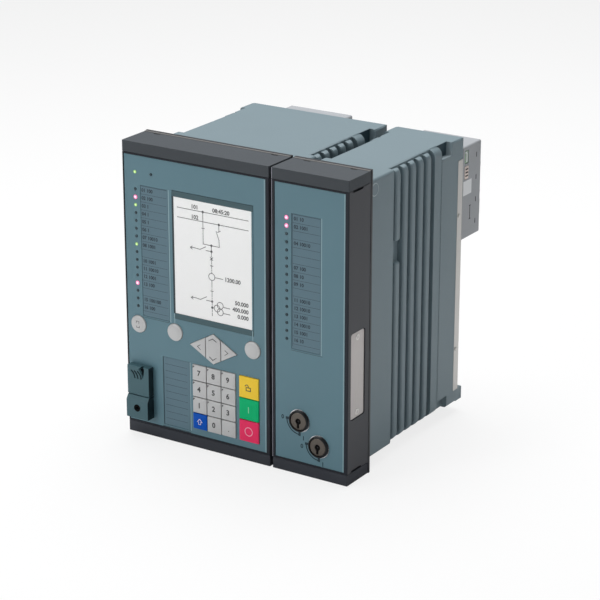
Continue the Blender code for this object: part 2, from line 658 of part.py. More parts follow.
def make_rear_plate(module):
    """The folded rear plate: a back sheet with a lip forward along each side."""
    name = f"{module.name}_rear_plate"
    low_z, high_z = PLATE_BOTTOM, PLATE_TOP
    front = HOUSING_REAR - RABBET_LENGTH + CLEARANCE
    plate = boxes(name, [((module.housing_left, front, low_z), (module.housing_right, PLATE_BACK, high_z))],
                  BARE_METAL)
    boolean(plate, boxes(f"{name}_fold", [
        ((module.housing_left + PLATE_THICKNESS, front - THROUGH, low_z - THROUGH),
         (module.housing_right - PLATE_THICKNESS, PLATE_BACK - PLATE_THICKNESS, high_z + THROUGH))], None))
    openings = [neck_corners(block, CLEARANCE) for block in REAR_BLOCKS.values() if block[0] is module]
    boolean(plate, boxes(f"{name}_openings", openings, None))
    add_screws(plate, plate_screw_places(module), SCREW_LENGTH)
    return plate


def make_terminal(name):
    """A terminal block: a body behind the rear plate, a neck through it and wire entries at the back."""
    owner, left, width, bottom, height = REAR_BLOCKS[name]
    mesh = bmesh.new()
    verts = add_box(mesh, (left, TERMINAL_FRONT, bottom), (left + width, TERMINAL_BACK, bottom + height))
    bevel_along(mesh, verts, "Y", TERMINAL_EDGE_RADIUS, 1)
    block = finish(name, mesh, GREY_PLASTIC)
    boolean(block, boxes(f"{name}_neck", [neck_corners(REAR_BLOCKS[name])], None), "UNION")
    rows = int((height - WIRE_PITCH) / WIRE_PITCH)
    first = bottom + (height - (rows - 1) * WIRE_PITCH) / 2
    holes = []
    for x in (left + WIRE_COLUMN_INSET, left + width - WIRE_COLUMN_INSET):
        for row in range(rows):
            z = first + row * WIRE_PITCH
            holes.append(((x - WIRE_HOLE / 2, TERMINAL_BACK - WIRE_HOLE_DEPTH, z - WIRE_HOLE / 2),
                          (x + WIRE_HOLE / 2, TERMINAL_BACK + THROUGH, z + WIRE_HOLE / 2)))
    boolean(block, boxes(f"{name}_wire_entries", holes, None))
    return block


def make_side_windows():
    """Shallow windows in the visible side of the expansion's terminal block."""
    right = EXPANSION_VOLTAGE_LEFT + EXPANSION_VOLTAGE_WIDTH
    top = EXPANSION_VOLTAGE_BOTTOM + TERMINAL_HEIGHT
    corners = []
    for index, height in enumerate((SIDE_WINDOW_HEIGHT, SIDE_WINDOW_HEIGHT, SIDE_WINDOW_HEIGHT / 2)):
        high = top - SIDE_WINDOW_DROP - index * (SIDE_WINDOW_HEIGHT + SIDE_WINDOW_SPACING)
        start = TERMINAL_FRONT + SIDE_WINDOW_START
        corners.append(((right - SIDE_WINDOW_DEPTH, start, high - height),
                        (right + THROUGH, start + SIDE_WINDOW_LENGTH, high)))
    boolean(bpy.data.objects["expansion_voltage_terminal"], boxes("side_windows", corners, None))


def jack_corners(index):
    x = NETWORK_LEFT + NETWORK_WIDTH / 2
    z = NETWORK_BOTTOM + NETWORK_HEIGHT / 2 + (index - (JACK_COUNT - 1) / 2) * JACK_PITCH
    back = PLATE_BACK + NETWORK_PROUD
    return ((x - JACK_WIDTH / 2, back - JACK_DEPTH, z - JACK_HEIGHT / 2),
            (x + JACK_WIDTH / 2, back + THROUGH, z + JACK_HEIGHT / 2))


def make_network_module():
    """A plug-in communication module with two network sockets."""
    owner, left, width, bottom, height = REAR_BLOCKS["network_module"]
    high = (left + width, PLATE_BACK + NETWORK_PROUD, bottom + height)
    module = boxes("network_module", [((left, TERMINAL_FRONT, bottom), high)], BARE_METAL)
    neck = boxes("network_module_neck", [neck_corners(REAR_BLOCKS["network_module"])], None)
    boolean(module, neck, "UNION")
    boolean(module, boxes("network_jacks", [jack_corners(index) for index in range(JACK_COUNT)], None))
    return module


def light_places(module):
    """The centres of a module's status lights in X and Z."""
    x = BASE_LIGHT_X if module is BASE else EXPANSION_LIGHT_X
    top = BASE_LIGHT_TOP if module is BASE else EXPANSION_LIGHT_TOP
    places = [(x, top - index * LIGHT_PITCH) for index in range(LIGHT_COUNT)]
    if module is BASE:
        places += [(x, top + STATE_LIGHT_RISE), (x + STATE_LIGHT_SPACING, top + STATE_LIGHT_RISE)]
    return places


def make_light_guide(module):
    """A clear moulding: one bar behind the panel with a pin to each status light."""
    name = f"{module.name}_light_guide"
    places = light_places(module)
    x = places[0][0]
    low = places[LIGHT_COUNT - 1][1]
    high = places[-2][1] if module is BASE else places[0][1]
    half = LIGHT_BAR_WIDTH / 2
    front, back = PANEL_BACK + CLEARANCE, FRONT_BOARD_FRONT - CLEARANCE
    guide = boxes(name, [((x - half, front, low - half), (x + half, back, high + half))], LENS)
    if module is BASE:
        arm = ((x - half / 2, front + CLEARANCE, high - half / 2),
               (x + STATE_LIGHT_SPACING + half, back - CLEARANCE, high + half / 2))
        boolean(guide, boxes(f"{name}_arm", [arm], None), "UNION")
    mesh = bmesh.new()
    for x, z in places:
        add_cylinder(mesh, (x, 0, z), LIGHT_RADIUS, PANEL_FRONT - LIGHT_PROUD, front + THROUGH, LIGHT_SIDES)
    boolean(guide, finish(f"{name}_pins", mesh, None), "UNION")
    return guide


def label_corners(left, width, bottom, height):
    """A label strip lying in its pocket."""
    back = PANEL_FRONT + LABEL_POCKET_DEPTH - CLEARANCE
    return ((left + CLEARANCE, back - LABEL_THICKNESS, bottom + CLEARANCE),
            (left + width - CLEARANCE, back, bottom + height - CLEARANCE))


def pocket_corners(left, width, bottom, height):
    return ((left, PANEL_FRONT - THROUGH, bottom),
            (left + width, PANEL_FRONT + LABEL_POCKET_DEPTH, bottom + height))


def status_label(module):
    left = BASE_LABEL_LEFT if module is BASE else EXPANSION_LABEL_LEFT
    top = (BASE_LIGHT_TOP if module is BASE else EXPANSION_LIGHT_TOP) + LABEL_RISE
    return left, LABEL_WIDTH, top - LABEL_HEIGHT, LABEL_HEIGHT


FUNCTION_LABEL = (FUNCTION_LABEL_LEFT, FUNCTION_LABEL_WIDTH, FUNCTION_LABEL_BOTTOM, FUNCTION_LABEL_HEIGHT)


def panel_blank(module):
    """The moulded panel with its light holes and its label pocket."""
    name = f"{module.name}_front_panel"
    panel = boxes(name, [((module.panel_left, PANEL_FRONT, PANEL_BOTTOM),
                          (module.panel_right, PANEL_BACK, PANEL_TOP))], TEAL)
    mesh = bmesh.new()
    for x, z in light_places(module):
        add_cylinder(mesh, (x, 0, z), LIGHT_RADIUS + CLEARANCE, PANEL_FRONT - THROUGH, PANEL_BACK + THROUGH,
                     LIGHT_SIDES)
    boolean(panel, finish(f"{name}_light_holes", mesh, None))
    pockets = [pocket_corners(*status_label(module))]
    if module is BASE:
        pockets.append(pocket_corners(*FUNCTION_LABEL))
    boolean(panel, boxes(f"{name}_label_pockets", pockets, None))
    return panel


def key_box(left, width, bottom, height):
    """A rectangular key's corners inside its share of the keypad."""
    half = KEY_GAP / 2
    return ((left + half, PANEL_FRONT - KEY_PROUD, bottom + half),
            (left + width - half, KEY_BACK, bottom + height - half))


def opening(left, width, bottom, height, grow):
    return ((left - grow, PANEL_FRONT - THROUGH, bottom - grow),
            (left + width + grow, PANEL_BACK + THROUGH, bottom + height + grow))


def nav_outline(grow):
    """The whole diamond of the navigation keys, grown outwards."""
    width, height = NAV_HALF_WIDTH + 2 * grow, NAV_HALF_HEIGHT + grow
    return [(NAV_X - width, NAV_Z), (NAV_X, NAV_Z - height), (NAV_X + width, NAV_Z), (NAV_X, NAV_Z + height)]


def make_base_panel():
    panel = panel_blank(BASE)
    keypad_width = 3 * KEY_COLUMN_PITCH
    keypad_height = 4 * KEY_ROW_PITCH
    cut = CLEARANCE - KEY_GAP / 2
    corners = [opening(KEYPAD_LEFT, keypad_width, KEYPAD_BOTTOM, keypad_height, cut),
               opening(CONTROL_LEFT, CONTROL_WIDTH, KEYPAD_BOTTOM, 3 * CONTROL_PITCH, cut),
               opening(DISPLAY_LEFT, DISPLAY_WIDTH, DISPLAY_BOTTOM, DISPLAY_HEIGHT, CLEARANCE),
               opening(socket_left(), SOCKET_WIDTH, PORT_BOTTOM + SOCKET_RISE - SOCKET_HEIGHT / 2,
                       SOCKET_HEIGHT, CLEARANCE)]
    boolean(panel, boxes("base_panel_openings", corners, None))
    mesh = bmesh.new()
    for x in ROUND_KEYS.values():
        add_cylinder(mesh, (x, 0, ROUND_KEY_HEIGHT), ROUND_KEY_RADIUS + CLEARANCE,
                     PANEL_FRONT - THROUGH, PANEL_BACK + THROUGH, ROUND_SIDES)
    outline_solid(mesh, nav_outline(CLEARANCE), PANEL_FRONT - THROUGH, PANEL_BACK + THROUGH)
    boolean(panel, finish("base_panel_key_holes", mesh, None))
    return panel


def make_expansion_panel():
    panel = panel_blank(EXPANSION)
    mesh = bmesh.new()
    for x, z in LOCK_CENTRES:
        add_cylinder(mesh, (x, 0, z), LOCK_BODY_RADIUS + CLEARANCE, PANEL_FRONT - THROUGH,
                     PANEL_BACK + THROUGH, ROUND_SIDES)
    boolean(panel, finish("expansion_panel_lock_holes", mesh, None))
    return panel


def make_labels():
    for module in MODULES:
        boxes(f"{module.name}_label_strip", [label_corners(*status_label(module))], LABEL)
    boxes("function_label_strip", [label_corners(*FUNCTION_LABEL)], LABEL)


def make_display():
    """The display module: a raised dark surround with the screen sunk inside it."""
    front = PANEL_FRONT - LIGHT_PROUD
    display = boxes("display_module", [((DISPLAY_LEFT, front, DISPLAY_BOTTOM),
                                        (DISPLAY_LEFT + DISPLAY_WIDTH, FRONT_BOARD_FRONT - CLEARANCE,
                                         DISPLAY_BOTTOM + DISPLAY_HEIGHT))], SCREEN)
    boolean(display, boxes("display_sink", [
        ((DISPLAY_LEFT + DISPLAY_SIDE_BAND, front - THROUGH, DISPLAY_BOTTOM + DISPLAY_END_BAND),
         (DISPLAY_LEFT + DISPLAY_WIDTH - DISPLAY_SIDE_BAND, front + DISPLAY_SINK,
          DISPLAY_BOTTOM + DISPLAY_HEIGHT - DISPLAY_END_BAND))], None))
    return display


def key_looks(name):
    return {"key_fn": BLUE_KEY, "key_ctrl": YELLOW_KEY, "key_close": GREEN_KEY, "key_open": RED_KEY}.get(
        name, SILVER_KEY)


def rectangular_key(name, left, width, bottom, height):
    low, high = key_box(left, width, bottom, height)
    centre = (left + width / 2, KEY_BACK, bottom + height / 2)
    key = boxes(name, [(low, high)], key_looks(name), centre)
    bevel(key, KEY_EDGE_RADIUS)
    return key


def make_keys():
    for row, names in enumerate(KEYPAD_ROWS):
        for column, name in enumerate(names):
            bottom = KEYPAD_BOTTOM + (len(KEYPAD_ROWS) - 1 - row) * KEY_ROW_PITCH
            left = KEYPAD_LEFT + column * KEY_COLUMN_PITCH
            rectangular_key(name, left, KEY_COLUMN_PITCH, bottom, KEY_ROW_PITCH)
    for row, name in enumerate(CONTROL_KEYS):
        bottom = KEYPAD_BOTTOM + (len(CONTROL_KEYS) - 1 - row) * CONTROL_PITCH
        rectangular_key(name, CONTROL_LEFT, CONTROL_WIDTH, bottom, CONTROL_PITCH)
    for name, x in ROUND_KEYS.items():
        mesh = bmesh.new()
        add_cylinder(mesh, (x, 0, ROUND_KEY_HEIGHT), ROUND_KEY_RADIUS, PANEL_FRONT - KEY_PROUD, KEY_BACK,
                     ROUND_SIDES)
        key = finish(name, mesh, SILVER_KEY, (x, KEY_BACK, ROUND_KEY_HEIGHT))
        bevel(key, KEY_EDGE_RADIUS)


def make_navigation():
    """Left and right keys and the up and down rocker, which together make a diamond."""
    front = PANEL_FRONT - KEY_PROUD
    split = NAV_ROCKER_HALF_WIDTH

    def height_at(x):
        return NAV_HALF_HEIGHT * (1 - x / NAV_HALF_WIDTH)

    for name, side in (("nav_left", -1), ("nav_right", 1)):
        inner = split + KEY_GAP / 2
        points = [(NAV_X + side * NAV_HALF_WIDTH, NAV_Z), (NAV_X + side * inner, NAV_Z - height_at(inner)),
                  (NAV_X + side * inner, NAV_Z + height_at(inner))]
        mesh = bmesh.new()
        outline_solid(mesh, points, front, KEY_BACK)
        finish(name, mesh, SILVER_KEY, (NAV_X + side * NAV_HALF_WIDTH / 2, KEY_BACK, NAV_Z))
    outer = split - KEY_GAP / 2
    tall = height_at(outer)
    points = [(NAV_X, NAV_Z - NAV_HALF_HEIGHT), (NAV_X + outer, NAV_Z - tall), (NAV_X + outer, NAV_Z + tall),
              (NAV_X, NAV_Z + NAV_HALF_HEIGHT), (NAV_X - outer, NAV_Z + tall), (NAV_X - outer, NAV_Z - tall)]
    mesh = bmesh.new()
    outline_solid(mesh, points, front, KEY_BACK)
    finish("nav_rocker", mesh, SILVER_KEY, (NAV_X, ROCKER_AXIS_DEPTH, NAV_Z))


def make_key_mat():
    """The switch mat behind the keys."""
    right = BASE.panel_right - MAT_RIGHT_INSET
    top = PANEL_BOTTOM + CLEARANCE + MAT_HEIGHT
    left = BASE.panel_left + CLEARANCE
    mat = boxes("key_mat", [((left, MAT_FRONT, PANEL_BOTTOM), (right, MAT_BACK, top))], RUBBER)
    boolean(mat, boxes("key_mat_corner", [
        ((left - THROUGH, MAT_FRONT - THROUGH, PANEL_BOTTOM - THROUGH),
         (MAT_LEFT, MAT_BACK + THROUGH, top - SELECT_TAB_HEIGHT))], None))
    return mat


def turned(name, centre, profile, look, sides):
    """A body turned about a line along Y; the profile gives radius and depth from front to back."""
    mesh = bpy.data.meshes.new(name)
    shape = bmesh.new()
    verts = [shape.verts.new((radius, 0, -depth)) for radius, depth in profile]
    for first, second in zip(verts, verts[1:]):
        shape.edges.new((first, second))
    shape.to_mesh(mesh)
    shape.free()
    item = bpy.data.objects.new(name, mesh)
    item.location = place(centre[0], 0, centre[1])
    item.rotation_euler = (math.pi / 2, 0, 0)
    modifier = item.modifiers.new("turned", "SCREW")
    modifier.axis = "Z"
    modifier.steps = sides
    modifier.render_steps = sides
    modifier.use_merge_vertices = True
    modifier.merge_threshold = 0.00001
    mesh.materials.append(material(name, look))
    PARTS.objects.link(item)
    return item


def make_locks():
    """Key switches: a ringed body seated in the panel and a barrel that turns in it."""
    ring_front = PANEL_FRONT - LOCK_RING_PROUD
    ring_back = PANEL_FRONT - CLEARANCE
    bore = LOCK_BARREL_RADIUS + CLEARANCE
    barrel_front = ring_front + LOCK_BARREL_SINK
    for index, centre in enumerate(LOCK_CENTRES):
        turned(f"lock_body_{index + 1}", centre, [
            (bore, ring_front), (LOCK_RING_RADIUS - LOCK_RING_CHAMFER, ring_front),
            (LOCK_RING_RADIUS, ring_front + LOCK_RING_CHAMFER), (LOCK_RING_RADIUS, ring_back),
            (LOCK_BODY_RADIUS, ring_back), (LOCK_BODY_RADIUS, LOCK_BODY_DEPTH), (bore, LOCK_BODY_DEPTH),
            (bore, ring_front)], BLACK_PLASTIC, ROUND_SIDES)
        barrel = turned(f"lock_barrel_{index + 1}", centre, [
            (0, barrel_front), (LOCK_BARREL_RADIUS, barrel_front), (LOCK_BARREL_RADIUS, LOCK_BODY_DEPTH),
            (0, LOCK_BODY_DEPTH)], BARE_METAL, ROUND_SIDES)
        x, z = centre
        boolean(barrel, boxes(f"keyway_{index + 1}", [
            ((x - KEYWAY_WIDTH / 2, barrel_front - THROUGH, z - KEYWAY_LENGTH / 2),
             (x + KEYWAY_WIDTH / 2, barrel_front + KEYWAY_DEPTH, z + KEYWAY_LENGTH / 2))], None))


def socket_left():
    return PORT_LEFT + (PORT_WIDTH - SOCKET_WIDTH) / 2


def make_service_port():
    """The lower housing of the port, its socket in the panel and the hinged flap over it."""
    right = PORT_LEFT + PORT_WIDTH
    back = PANEL_FRONT - CLEARANCE
    lower_front = PANEL_FRONT - PORT_LOWER_PROUD
    lower_top = PORT_BOTTOM + PORT_LOWER_HEIGHT
    flap_front = PANEL_FRONT - FLAP_PROUD

    lower = boxes("service_port_housing",
                  [((PORT_LEFT, lower_front, PORT_BOTTOM), (right, back, lower_top))], DARK_TEAL)
    mesh = bmesh.new()
    wedge = add_box(mesh, (PORT_LEFT - THROUGH, lower_front - PORT_LEDGE, lower_top - PORT_LEDGE),
                    (right + THROUGH, flap_front, lower_top + PORT_LEDGE))
    slope = PORT_LEDGE / (flap_front - lower_front)
    for vert in wedge:
        if vert.co.z < lower_top:
            ahead = place(0, flap_front, 0).y - vert.co.y
            vert.co.z = lower_top - slope * ahead
    boolean(lower, finish("port_ledge", mesh, None))
    mesh = bmesh.new()
    add_cylinder(mesh, (PORT_LEFT + PORT_WIDTH / 2, 0, PORT_BOTTOM + PORT_HOLE_RISE), PORT_HOLE_RADIUS,
                 lower_front - THROUGH, lower_front + PORT_HOLE_DEPTH, SMALL_HOLE_SIDES)
    boolean(lower, finish("port_hole", mesh, None))

    flap_low = lower_top + FLAP_GAP
    hinge_z = flap_low + FLAP_HINGE_INSET
    flap_high = flap_low + FLAP_HEIGHT
    hinge = (PORT_LEFT + PORT_WIDTH / 2, flap_front + FLAP_HINGE_INSET, hinge_z)
    flap = boxes("service_port_flap",
                 [((PORT_LEFT, flap_front, flap_low), (right, back, flap_high))], DARK_TEAL, hinge)
    boolean(flap, boxes("flap_hollow", [
        ((PORT_LEFT + FLAP_WALL, flap_front + FINGER_POCKET_DEPTH + FLAP_WALL, flap_low + FLAP_WALL),
         (right - FLAP_WALL, back + THROUGH, flap_high - FLAP_WALL))], None))
    mesh = bmesh.new()
    pocket_left = PORT_LEFT + FINGER_POCKET_LEFT
    pocket_right = pocket_left + FINGER_POCKET_WIDTH
    wedge = add_box(mesh, (pocket_left, flap_front - THROUGH, flap_high - FINGER_POCKET_HEIGHT),
                    (pocket_right, flap_front + FINGER_POCKET_DEPTH, flap_high + THROUGH))
    middle = place(0, 0, flap_high - FINGER_POCKET_HEIGHT / 2).z
    for vert in wedge:
        if vert.co.z < middle and vert.co.y > place(0, flap_front, 0).y:
            vert.co.y = place(0, flap_front - THROUGH / 2, 0).y
    boolean(flap, finish("finger_pocket", mesh, None))
    grips = []
    for index in range(GRIP_COUNT):
        x = pocket_left - (index + 1) * GRIP_PITCH
        high = flap_high - GRIP_LENGTH / 3
        grips.append(((x - GRIP_WIDTH / 2, flap_front - THROUGH, high - GRIP_LENGTH),
                      (x + GRIP_WIDTH / 2, flap_front + GRIP_DEPTH, high)))
    boolean(flap, boxes("grip_grooves", grips, None))

    left, width = socket_left(), SOCKET_WIDTH
    low = PORT_BOTTOM + SOCKET_RISE - SOCKET_HEIGHT / 2
    high = low + SOCKET_HEIGHT
    socket = boxes("service_socket",
                   [((left, PANEL_FRONT, low), (left + width, SOCKET_DEPTH, high))], BARE_METAL)
    boolean(socket, boxes("socket_mouth", [
        ((left + SOCKET_WALL, PANEL_FRONT - THROUGH, low + SOCKET_WALL),
         (left + width - SOCKET_WALL, SOCKET_DEPTH - SOCKET_WALL, high - SOCKET_WALL))], None))
    middle_x, middle_z = left + width / 2, (low + high) / 2
    half_width, half_height = SOCKET_TONGUE_WIDTH / 2, SOCKET_TONGUE_HEIGHT / 2
    tongue = ((middle_x - half_width, PANEL_FRONT + THROUGH, middle_z - half_height),
              (middle_x + half_width, SOCKET_DEPTH - SOCKET_WALL / 2, middle_z + half_height))
    boolean(socket, boxes("socket_tongue", [tongue], None), "UNION")


def side_screw_places():
    """The two screws of the side cover plate."""
    y = SIDE_PLATE_START + SIDE_PLATE_LENGTH / 2
    x = UNIT_WIDTH - SIDE_PLATE_SINK
    return [(x, y, SIDE_PLATE_BOTTOM + SIDE_SCREW_INSET, 1),
            (x, y, SIDE_PLATE_BOTTOM + SIDE_PLATE_HEIGHT - SIDE_SCREW_INSET, 1)]


def make_side_plate():
    """The metal plate that closes the connection to the next module, sunk in the bezel's side."""
    outer = UNIT_WIDTH - SIDE_PLATE_SINK
    inner = outer - SIDE_PLATE_THICKNESS
    low = (inner, SIDE_PLATE_START, SIDE_PLATE_BOTTOM)
    high = (outer, SIDE_PLATE_START + SIDE_PLATE_LENGTH, SIDE_PLATE_BOTTOM + SIDE_PLATE_HEIGHT)
    mesh = bmesh.new()
    verts = add_box(mesh, low, high)
    bevel_along(mesh, verts, "X", SIDE_PLATE_CORNER, 3)
    plate = finish("side_cover_plate", mesh, BARE_METAL)
    mesh = bmesh.new()
    verts = add_box(mesh, (inner - CLEARANCE, low[1] - 2 * CLEARANCE, low[2] - 2 * CLEARANCE),
                    (UNIT_WIDTH + THROUGH, high[1] + 2 * CLEARANCE, high[2] + 2 * CLEARANCE))
    bevel_along(mesh, verts, "X", SIDE_PLATE_CORNER, 3)
    boolean(bpy.data.objects["expansion_bezel"], finish("side_plate_pocket", mesh, None))
    mesh = bmesh.new()
    for x, y, z, side in side_screw_places():
        add_cylinder(mesh, (x, y, z), SCREW_SHANK_RADIUS + CLEARANCE, x - SIDE_SCREW_LENGTH - CLEARANCE,
                     x + THROUGH, SCREW_SIDES, "X")
    boolean(bpy.data.objects["expansion_bezel"], finish("side_plate_holes", mesh, None))
    add_screws(plate, side_screw_places(), SIDE_SCREW_LENGTH)


def make_module_link():
    """The plug that joins the two modules' bus through their bezels."""
    low = (BASE.panel_right - LINK_REACH, LINK_START, LINK_BOTTOM)
    high = (EXPANSION.panel_left + LINK_REACH, LINK_START + LINK_DEPTH, LINK_BOTTOM + LINK_HEIGHT)
    boxes("module_link", [(low, high)], GREY_PLASTIC)
    opening_box = ((low[0], low[1] - CLEARANCE, low[2] - CLEARANCE),
                   (high[0], high[1] + CLEARANCE, high[2] + CLEARANCE))
    cutter = boxes("module_link_opening", [opening_box], None)
    boolean(bpy.data.objects["base_bezel"], cutter)
    boolean(bpy.data.objects["expansion_bezel"], cutter)


def add_screws(item, places, length):
    """Round-headed screws, held captive by the sheet that they fasten."""
    mesh = bmesh.new()
    for x, y, z, side in places:
        profile = [(0, -length), (SCREW_SHANK_RADIUS, -length), (SCREW_SHANK_RADIUS, -SCREW_SEAT),
                   (SCREW_HEAD_RADIUS, -SCREW_SEAT), (SCREW_HEAD_RADIUS, SCREW_HEAD_HEIGHT / 2),
                   (SCREW_HEAD_RADIUS * SCREW_CROWN, SCREW_HEAD_HEIGHT), (0, SCREW_HEAD_HEIGHT)]
        centre = place(x, y, z)
        verts = [mesh.verts.new(centre + Vector((side * reach, radius, 0))) for radius, reach in profile]
        edges = [mesh.edges.new(pair) for pair in zip(verts, verts[1:])]
        bmesh.ops.spin(mesh, geom=verts + edges, cent=centre, axis=(1, 0, 0), angle=2 * math.pi,
                       steps=SCREW_SIDES, use_merge=True)
    bmesh.ops.remove_doubles(mesh, verts=mesh.verts, dist=0.00001)
    boolean(item, finish(f"{item.name}_screws", mesh, None), "UNION")


def board_with_parts(name, x, module, components):
    """An upright board in the housing's guides, with a tongue forward to the front board.

    A component's place and height up the board are shares of the board's height."""
    half = BOARD_THICKNESS / 2
    low = HOUSING_BOTTOM + HOUSING_WALL + CLEARANCE
    high = HOUSING_TOP - HOUSING_WALL - CLEARANCE
    board = boxes(name, [((x - half, HOUSING_FRONT + CLEARANCE, low), (x + half, BOARD_REAR, high))], BOARD)
    boolean(board, boxes(f"{name}_tongue", [
        ((x - half, FRONT_BOARD_BACK + CLEARANCE, TONGUE_BOTTOM),
         (x + half, HOUSING_FRONT + TONGUE_OVERLAP, TONGUE_BOTTOM + TONGUE_HEIGHT))], None), "UNION")
    corners = []
    for ahead, spot, (length, share, thickness) in components:
        y, z = HOUSING_FRONT + COMPONENT_START + ahead, low + spot * (high - low)
        corners.append(((x, y, z), (x + half + thickness, y + length, z + share * (high - low))))
    boolean(board, boxes(f"{name}_components", corners, None), "UNION")
    return board


def component_grid(rows, columns, pitch, step, component):
    """Equal components in rows: the pitch is a length, the step a share of the board's height."""
    return [(column * pitch, COMPONENT_BOTTOM + row * step, component)
            for row in range(rows) for column in range(columns)]


def make_boards():
    low, high = FRONT_BOARD_END_INSET, UNIT_HEIGHT - FRONT_BOARD_END_INSET
    display_board = boxes("display_board", [
        ((BASE.panel_left + FRONT_BOARD_INSET, FRONT_BOARD_FRONT, low),
         (BASE.panel_right - FRONT_BOARD_INSET, FRONT_BOARD_BACK, high))], BOARD)
    socket_low = PORT_BOTTOM + SOCKET_RISE - SOCKET_HEIGHT / 2
    boolean(display_board, boxes("display_board_cutout", [
        ((socket_left() - CLEARANCE, FRONT_BOARD_FRONT - THROUGH, socket_low - CLEARANCE),
         (socket_left() + SOCKET_WIDTH + CLEARANCE, FRONT_BOARD_BACK + THROUGH,
          socket_low + SOCKET_HEIGHT + CLEARANCE))], None))
    boxes("led_board", [((EXPANSION.panel_left + FRONT_BOARD_INSET, FRONT_BOARD_FRONT, LED_BOARD_BOTTOM),
                         (EXPANSION.panel_right - FRONT_BOARD_INSET, FRONT_BOARD_BACK, high))], BOARD)
    board_with_parts("processor_board", PROCESSOR_BOARD_X, BASE,
                     [(0, CHIP_HEIGHT, CHIP), (POWER_SUPPLY_START, POWER_SUPPLY_HEIGHT, POWER_SUPPLY)])
    board_with_parts("input_output_board", INPUT_BOARD_X, BASE,
                     component_grid(TRANSFORMER_ROWS, TRANSFORMER_COLUMNS, TRANSFORMER_PITCH,
                                    TRANSFORMER_STEP, TRANSFORMER))
    board_with_parts("expansion_board", EXPANSION_BOARD_X, EXPANSION,
                     component_grid(RELAY_COUNT, RELAY_COUNT, RELAY_PITCH, RELAY_STEP, RELAY))


for each in MODULES:
    make_bezel(each)
    make_cap(each, True)
    make_cap(each, False)
    make_flange(each)
    make_housing(each)
    make_rear_plate(each)
    make_light_guide(each)
make_base_panel()
make_expansion_panel()
make_labels()
make_display()
make_keys()
make_navigation()
make_key_mat()
make_locks()
make_service_port()
make_side_plate()
make_module_link()
for terminal in ("base_voltage_terminal", "base_current_terminal", "expansion_voltage_terminal"):
    make_terminal(terminal)
make_side_windows()
make_network_module()
make_boards()
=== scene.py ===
import json
import math

import bmesh
import bpy
from mathutils import Matrix, Vector

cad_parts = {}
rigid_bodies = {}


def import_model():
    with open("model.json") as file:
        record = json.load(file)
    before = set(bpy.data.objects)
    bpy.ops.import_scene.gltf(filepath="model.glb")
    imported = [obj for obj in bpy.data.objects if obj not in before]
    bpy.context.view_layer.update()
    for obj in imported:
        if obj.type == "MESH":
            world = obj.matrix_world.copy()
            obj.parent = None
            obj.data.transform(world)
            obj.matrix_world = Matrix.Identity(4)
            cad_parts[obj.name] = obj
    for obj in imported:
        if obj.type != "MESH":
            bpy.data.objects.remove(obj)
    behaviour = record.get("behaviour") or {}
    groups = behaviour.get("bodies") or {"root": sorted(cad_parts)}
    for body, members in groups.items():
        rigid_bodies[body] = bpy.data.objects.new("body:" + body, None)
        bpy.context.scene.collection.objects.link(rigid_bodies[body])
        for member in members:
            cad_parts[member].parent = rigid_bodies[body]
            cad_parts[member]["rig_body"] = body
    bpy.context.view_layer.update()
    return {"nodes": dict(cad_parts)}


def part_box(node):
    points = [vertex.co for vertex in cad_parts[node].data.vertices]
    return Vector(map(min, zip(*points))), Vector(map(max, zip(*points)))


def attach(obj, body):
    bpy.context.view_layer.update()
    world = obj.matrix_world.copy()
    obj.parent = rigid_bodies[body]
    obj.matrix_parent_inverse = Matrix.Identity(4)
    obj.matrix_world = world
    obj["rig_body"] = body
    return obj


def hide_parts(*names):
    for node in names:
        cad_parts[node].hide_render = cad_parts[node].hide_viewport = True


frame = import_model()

# Looks of a modular protection relay: a base module with screen and keypad, and an expansion module.
# Lengths are metres. Places are written in the front frame: from the unit's left edge, its bezel face
# and its bottom, with depth growing to the rear.
UNIT_WIDTH = 0.2250
DEPTH_CENTRE = 0.1084
MILLIMETRE = 0.001
PORT_LEFT, PORT_RIGHT = 0.0045, 0.0275
PANEL_FACE, LABEL_FACE, BAND_FACE, SCREEN_FACE = 0.0004, 0.0006, 0.0002, 0.0005
INK = 0.00006
ON_PANEL, ON_LABEL, ON_BAND, ON_SCREEN = (
    (face - INK, face) for face in (PANEL_FACE, LABEL_FACE, BAND_FACE, SCREEN_FACE))
BOLDNESS = 0.03
MERGE = 0.00001

HOME = "unit"
MODULES = ("base", "expansion")


def place(x, y, z):
    """A point of the front frame in the part's own frame."""
    return Vector((x - UNIT_WIDTH / 2, y - DEPTH_CENTRE, z))


def front(point):
    """A point of the part's own frame in the front frame."""
    return point.x + UNIT_WIDTH / 2, point.y + DEPTH_CENTRE, point.z


def box_of(node):
    """A node's lowest and highest corners in the front frame."""
    low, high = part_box(node)
    return front(low), front(high)


# Colours

def tone(red, green, blue):
    """A colour written as screen values from 0 to 255, as linear light."""
    values = []
    for value in (red, green, blue):
        value /= 255
        values.append(value / 12.92 if value <= 0.04045 else ((value + 0.055) / 1.055) ** 2.4)
    return (*values, 1.0)


# Shared effects

def new_group(name, inputs):
    """An empty shader node group with named inputs, which gives a colour, a roughness and a height."""
    group = bpy.data.node_groups.new(name, "ShaderNodeTree")
    for label, kind, value in inputs:
        socket = group.interface.new_socket(name=label, in_out="INPUT", socket_type="NodeSocket" + kind)
        if value is not None:
            socket.default_value = value
    for label, kind in (("Colour", "Color"), ("Roughness", "Float"), ("Height", "Float")):
        group.interface.new_socket(name=label, in_out="OUTPUT", socket_type="NodeSocket" + kind)
    return group, group.nodes.new("NodeGroupInput").outputs


def close_group(group, *results):
    """Link a group's colour, roughness and height to its outputs."""
    leave = group.nodes.new("NodeGroupOutput")
    for socket, result in zip(leave.inputs, results):
        group.links.new(result, socket)
    return group


def feed(tree, socket, value):
    """Link a socket to another one, or give it a plain value."""
    if isinstance(value, bpy.types.NodeSocket):
        tree.links.new(value, socket)
    else:
        socket.default_value = value


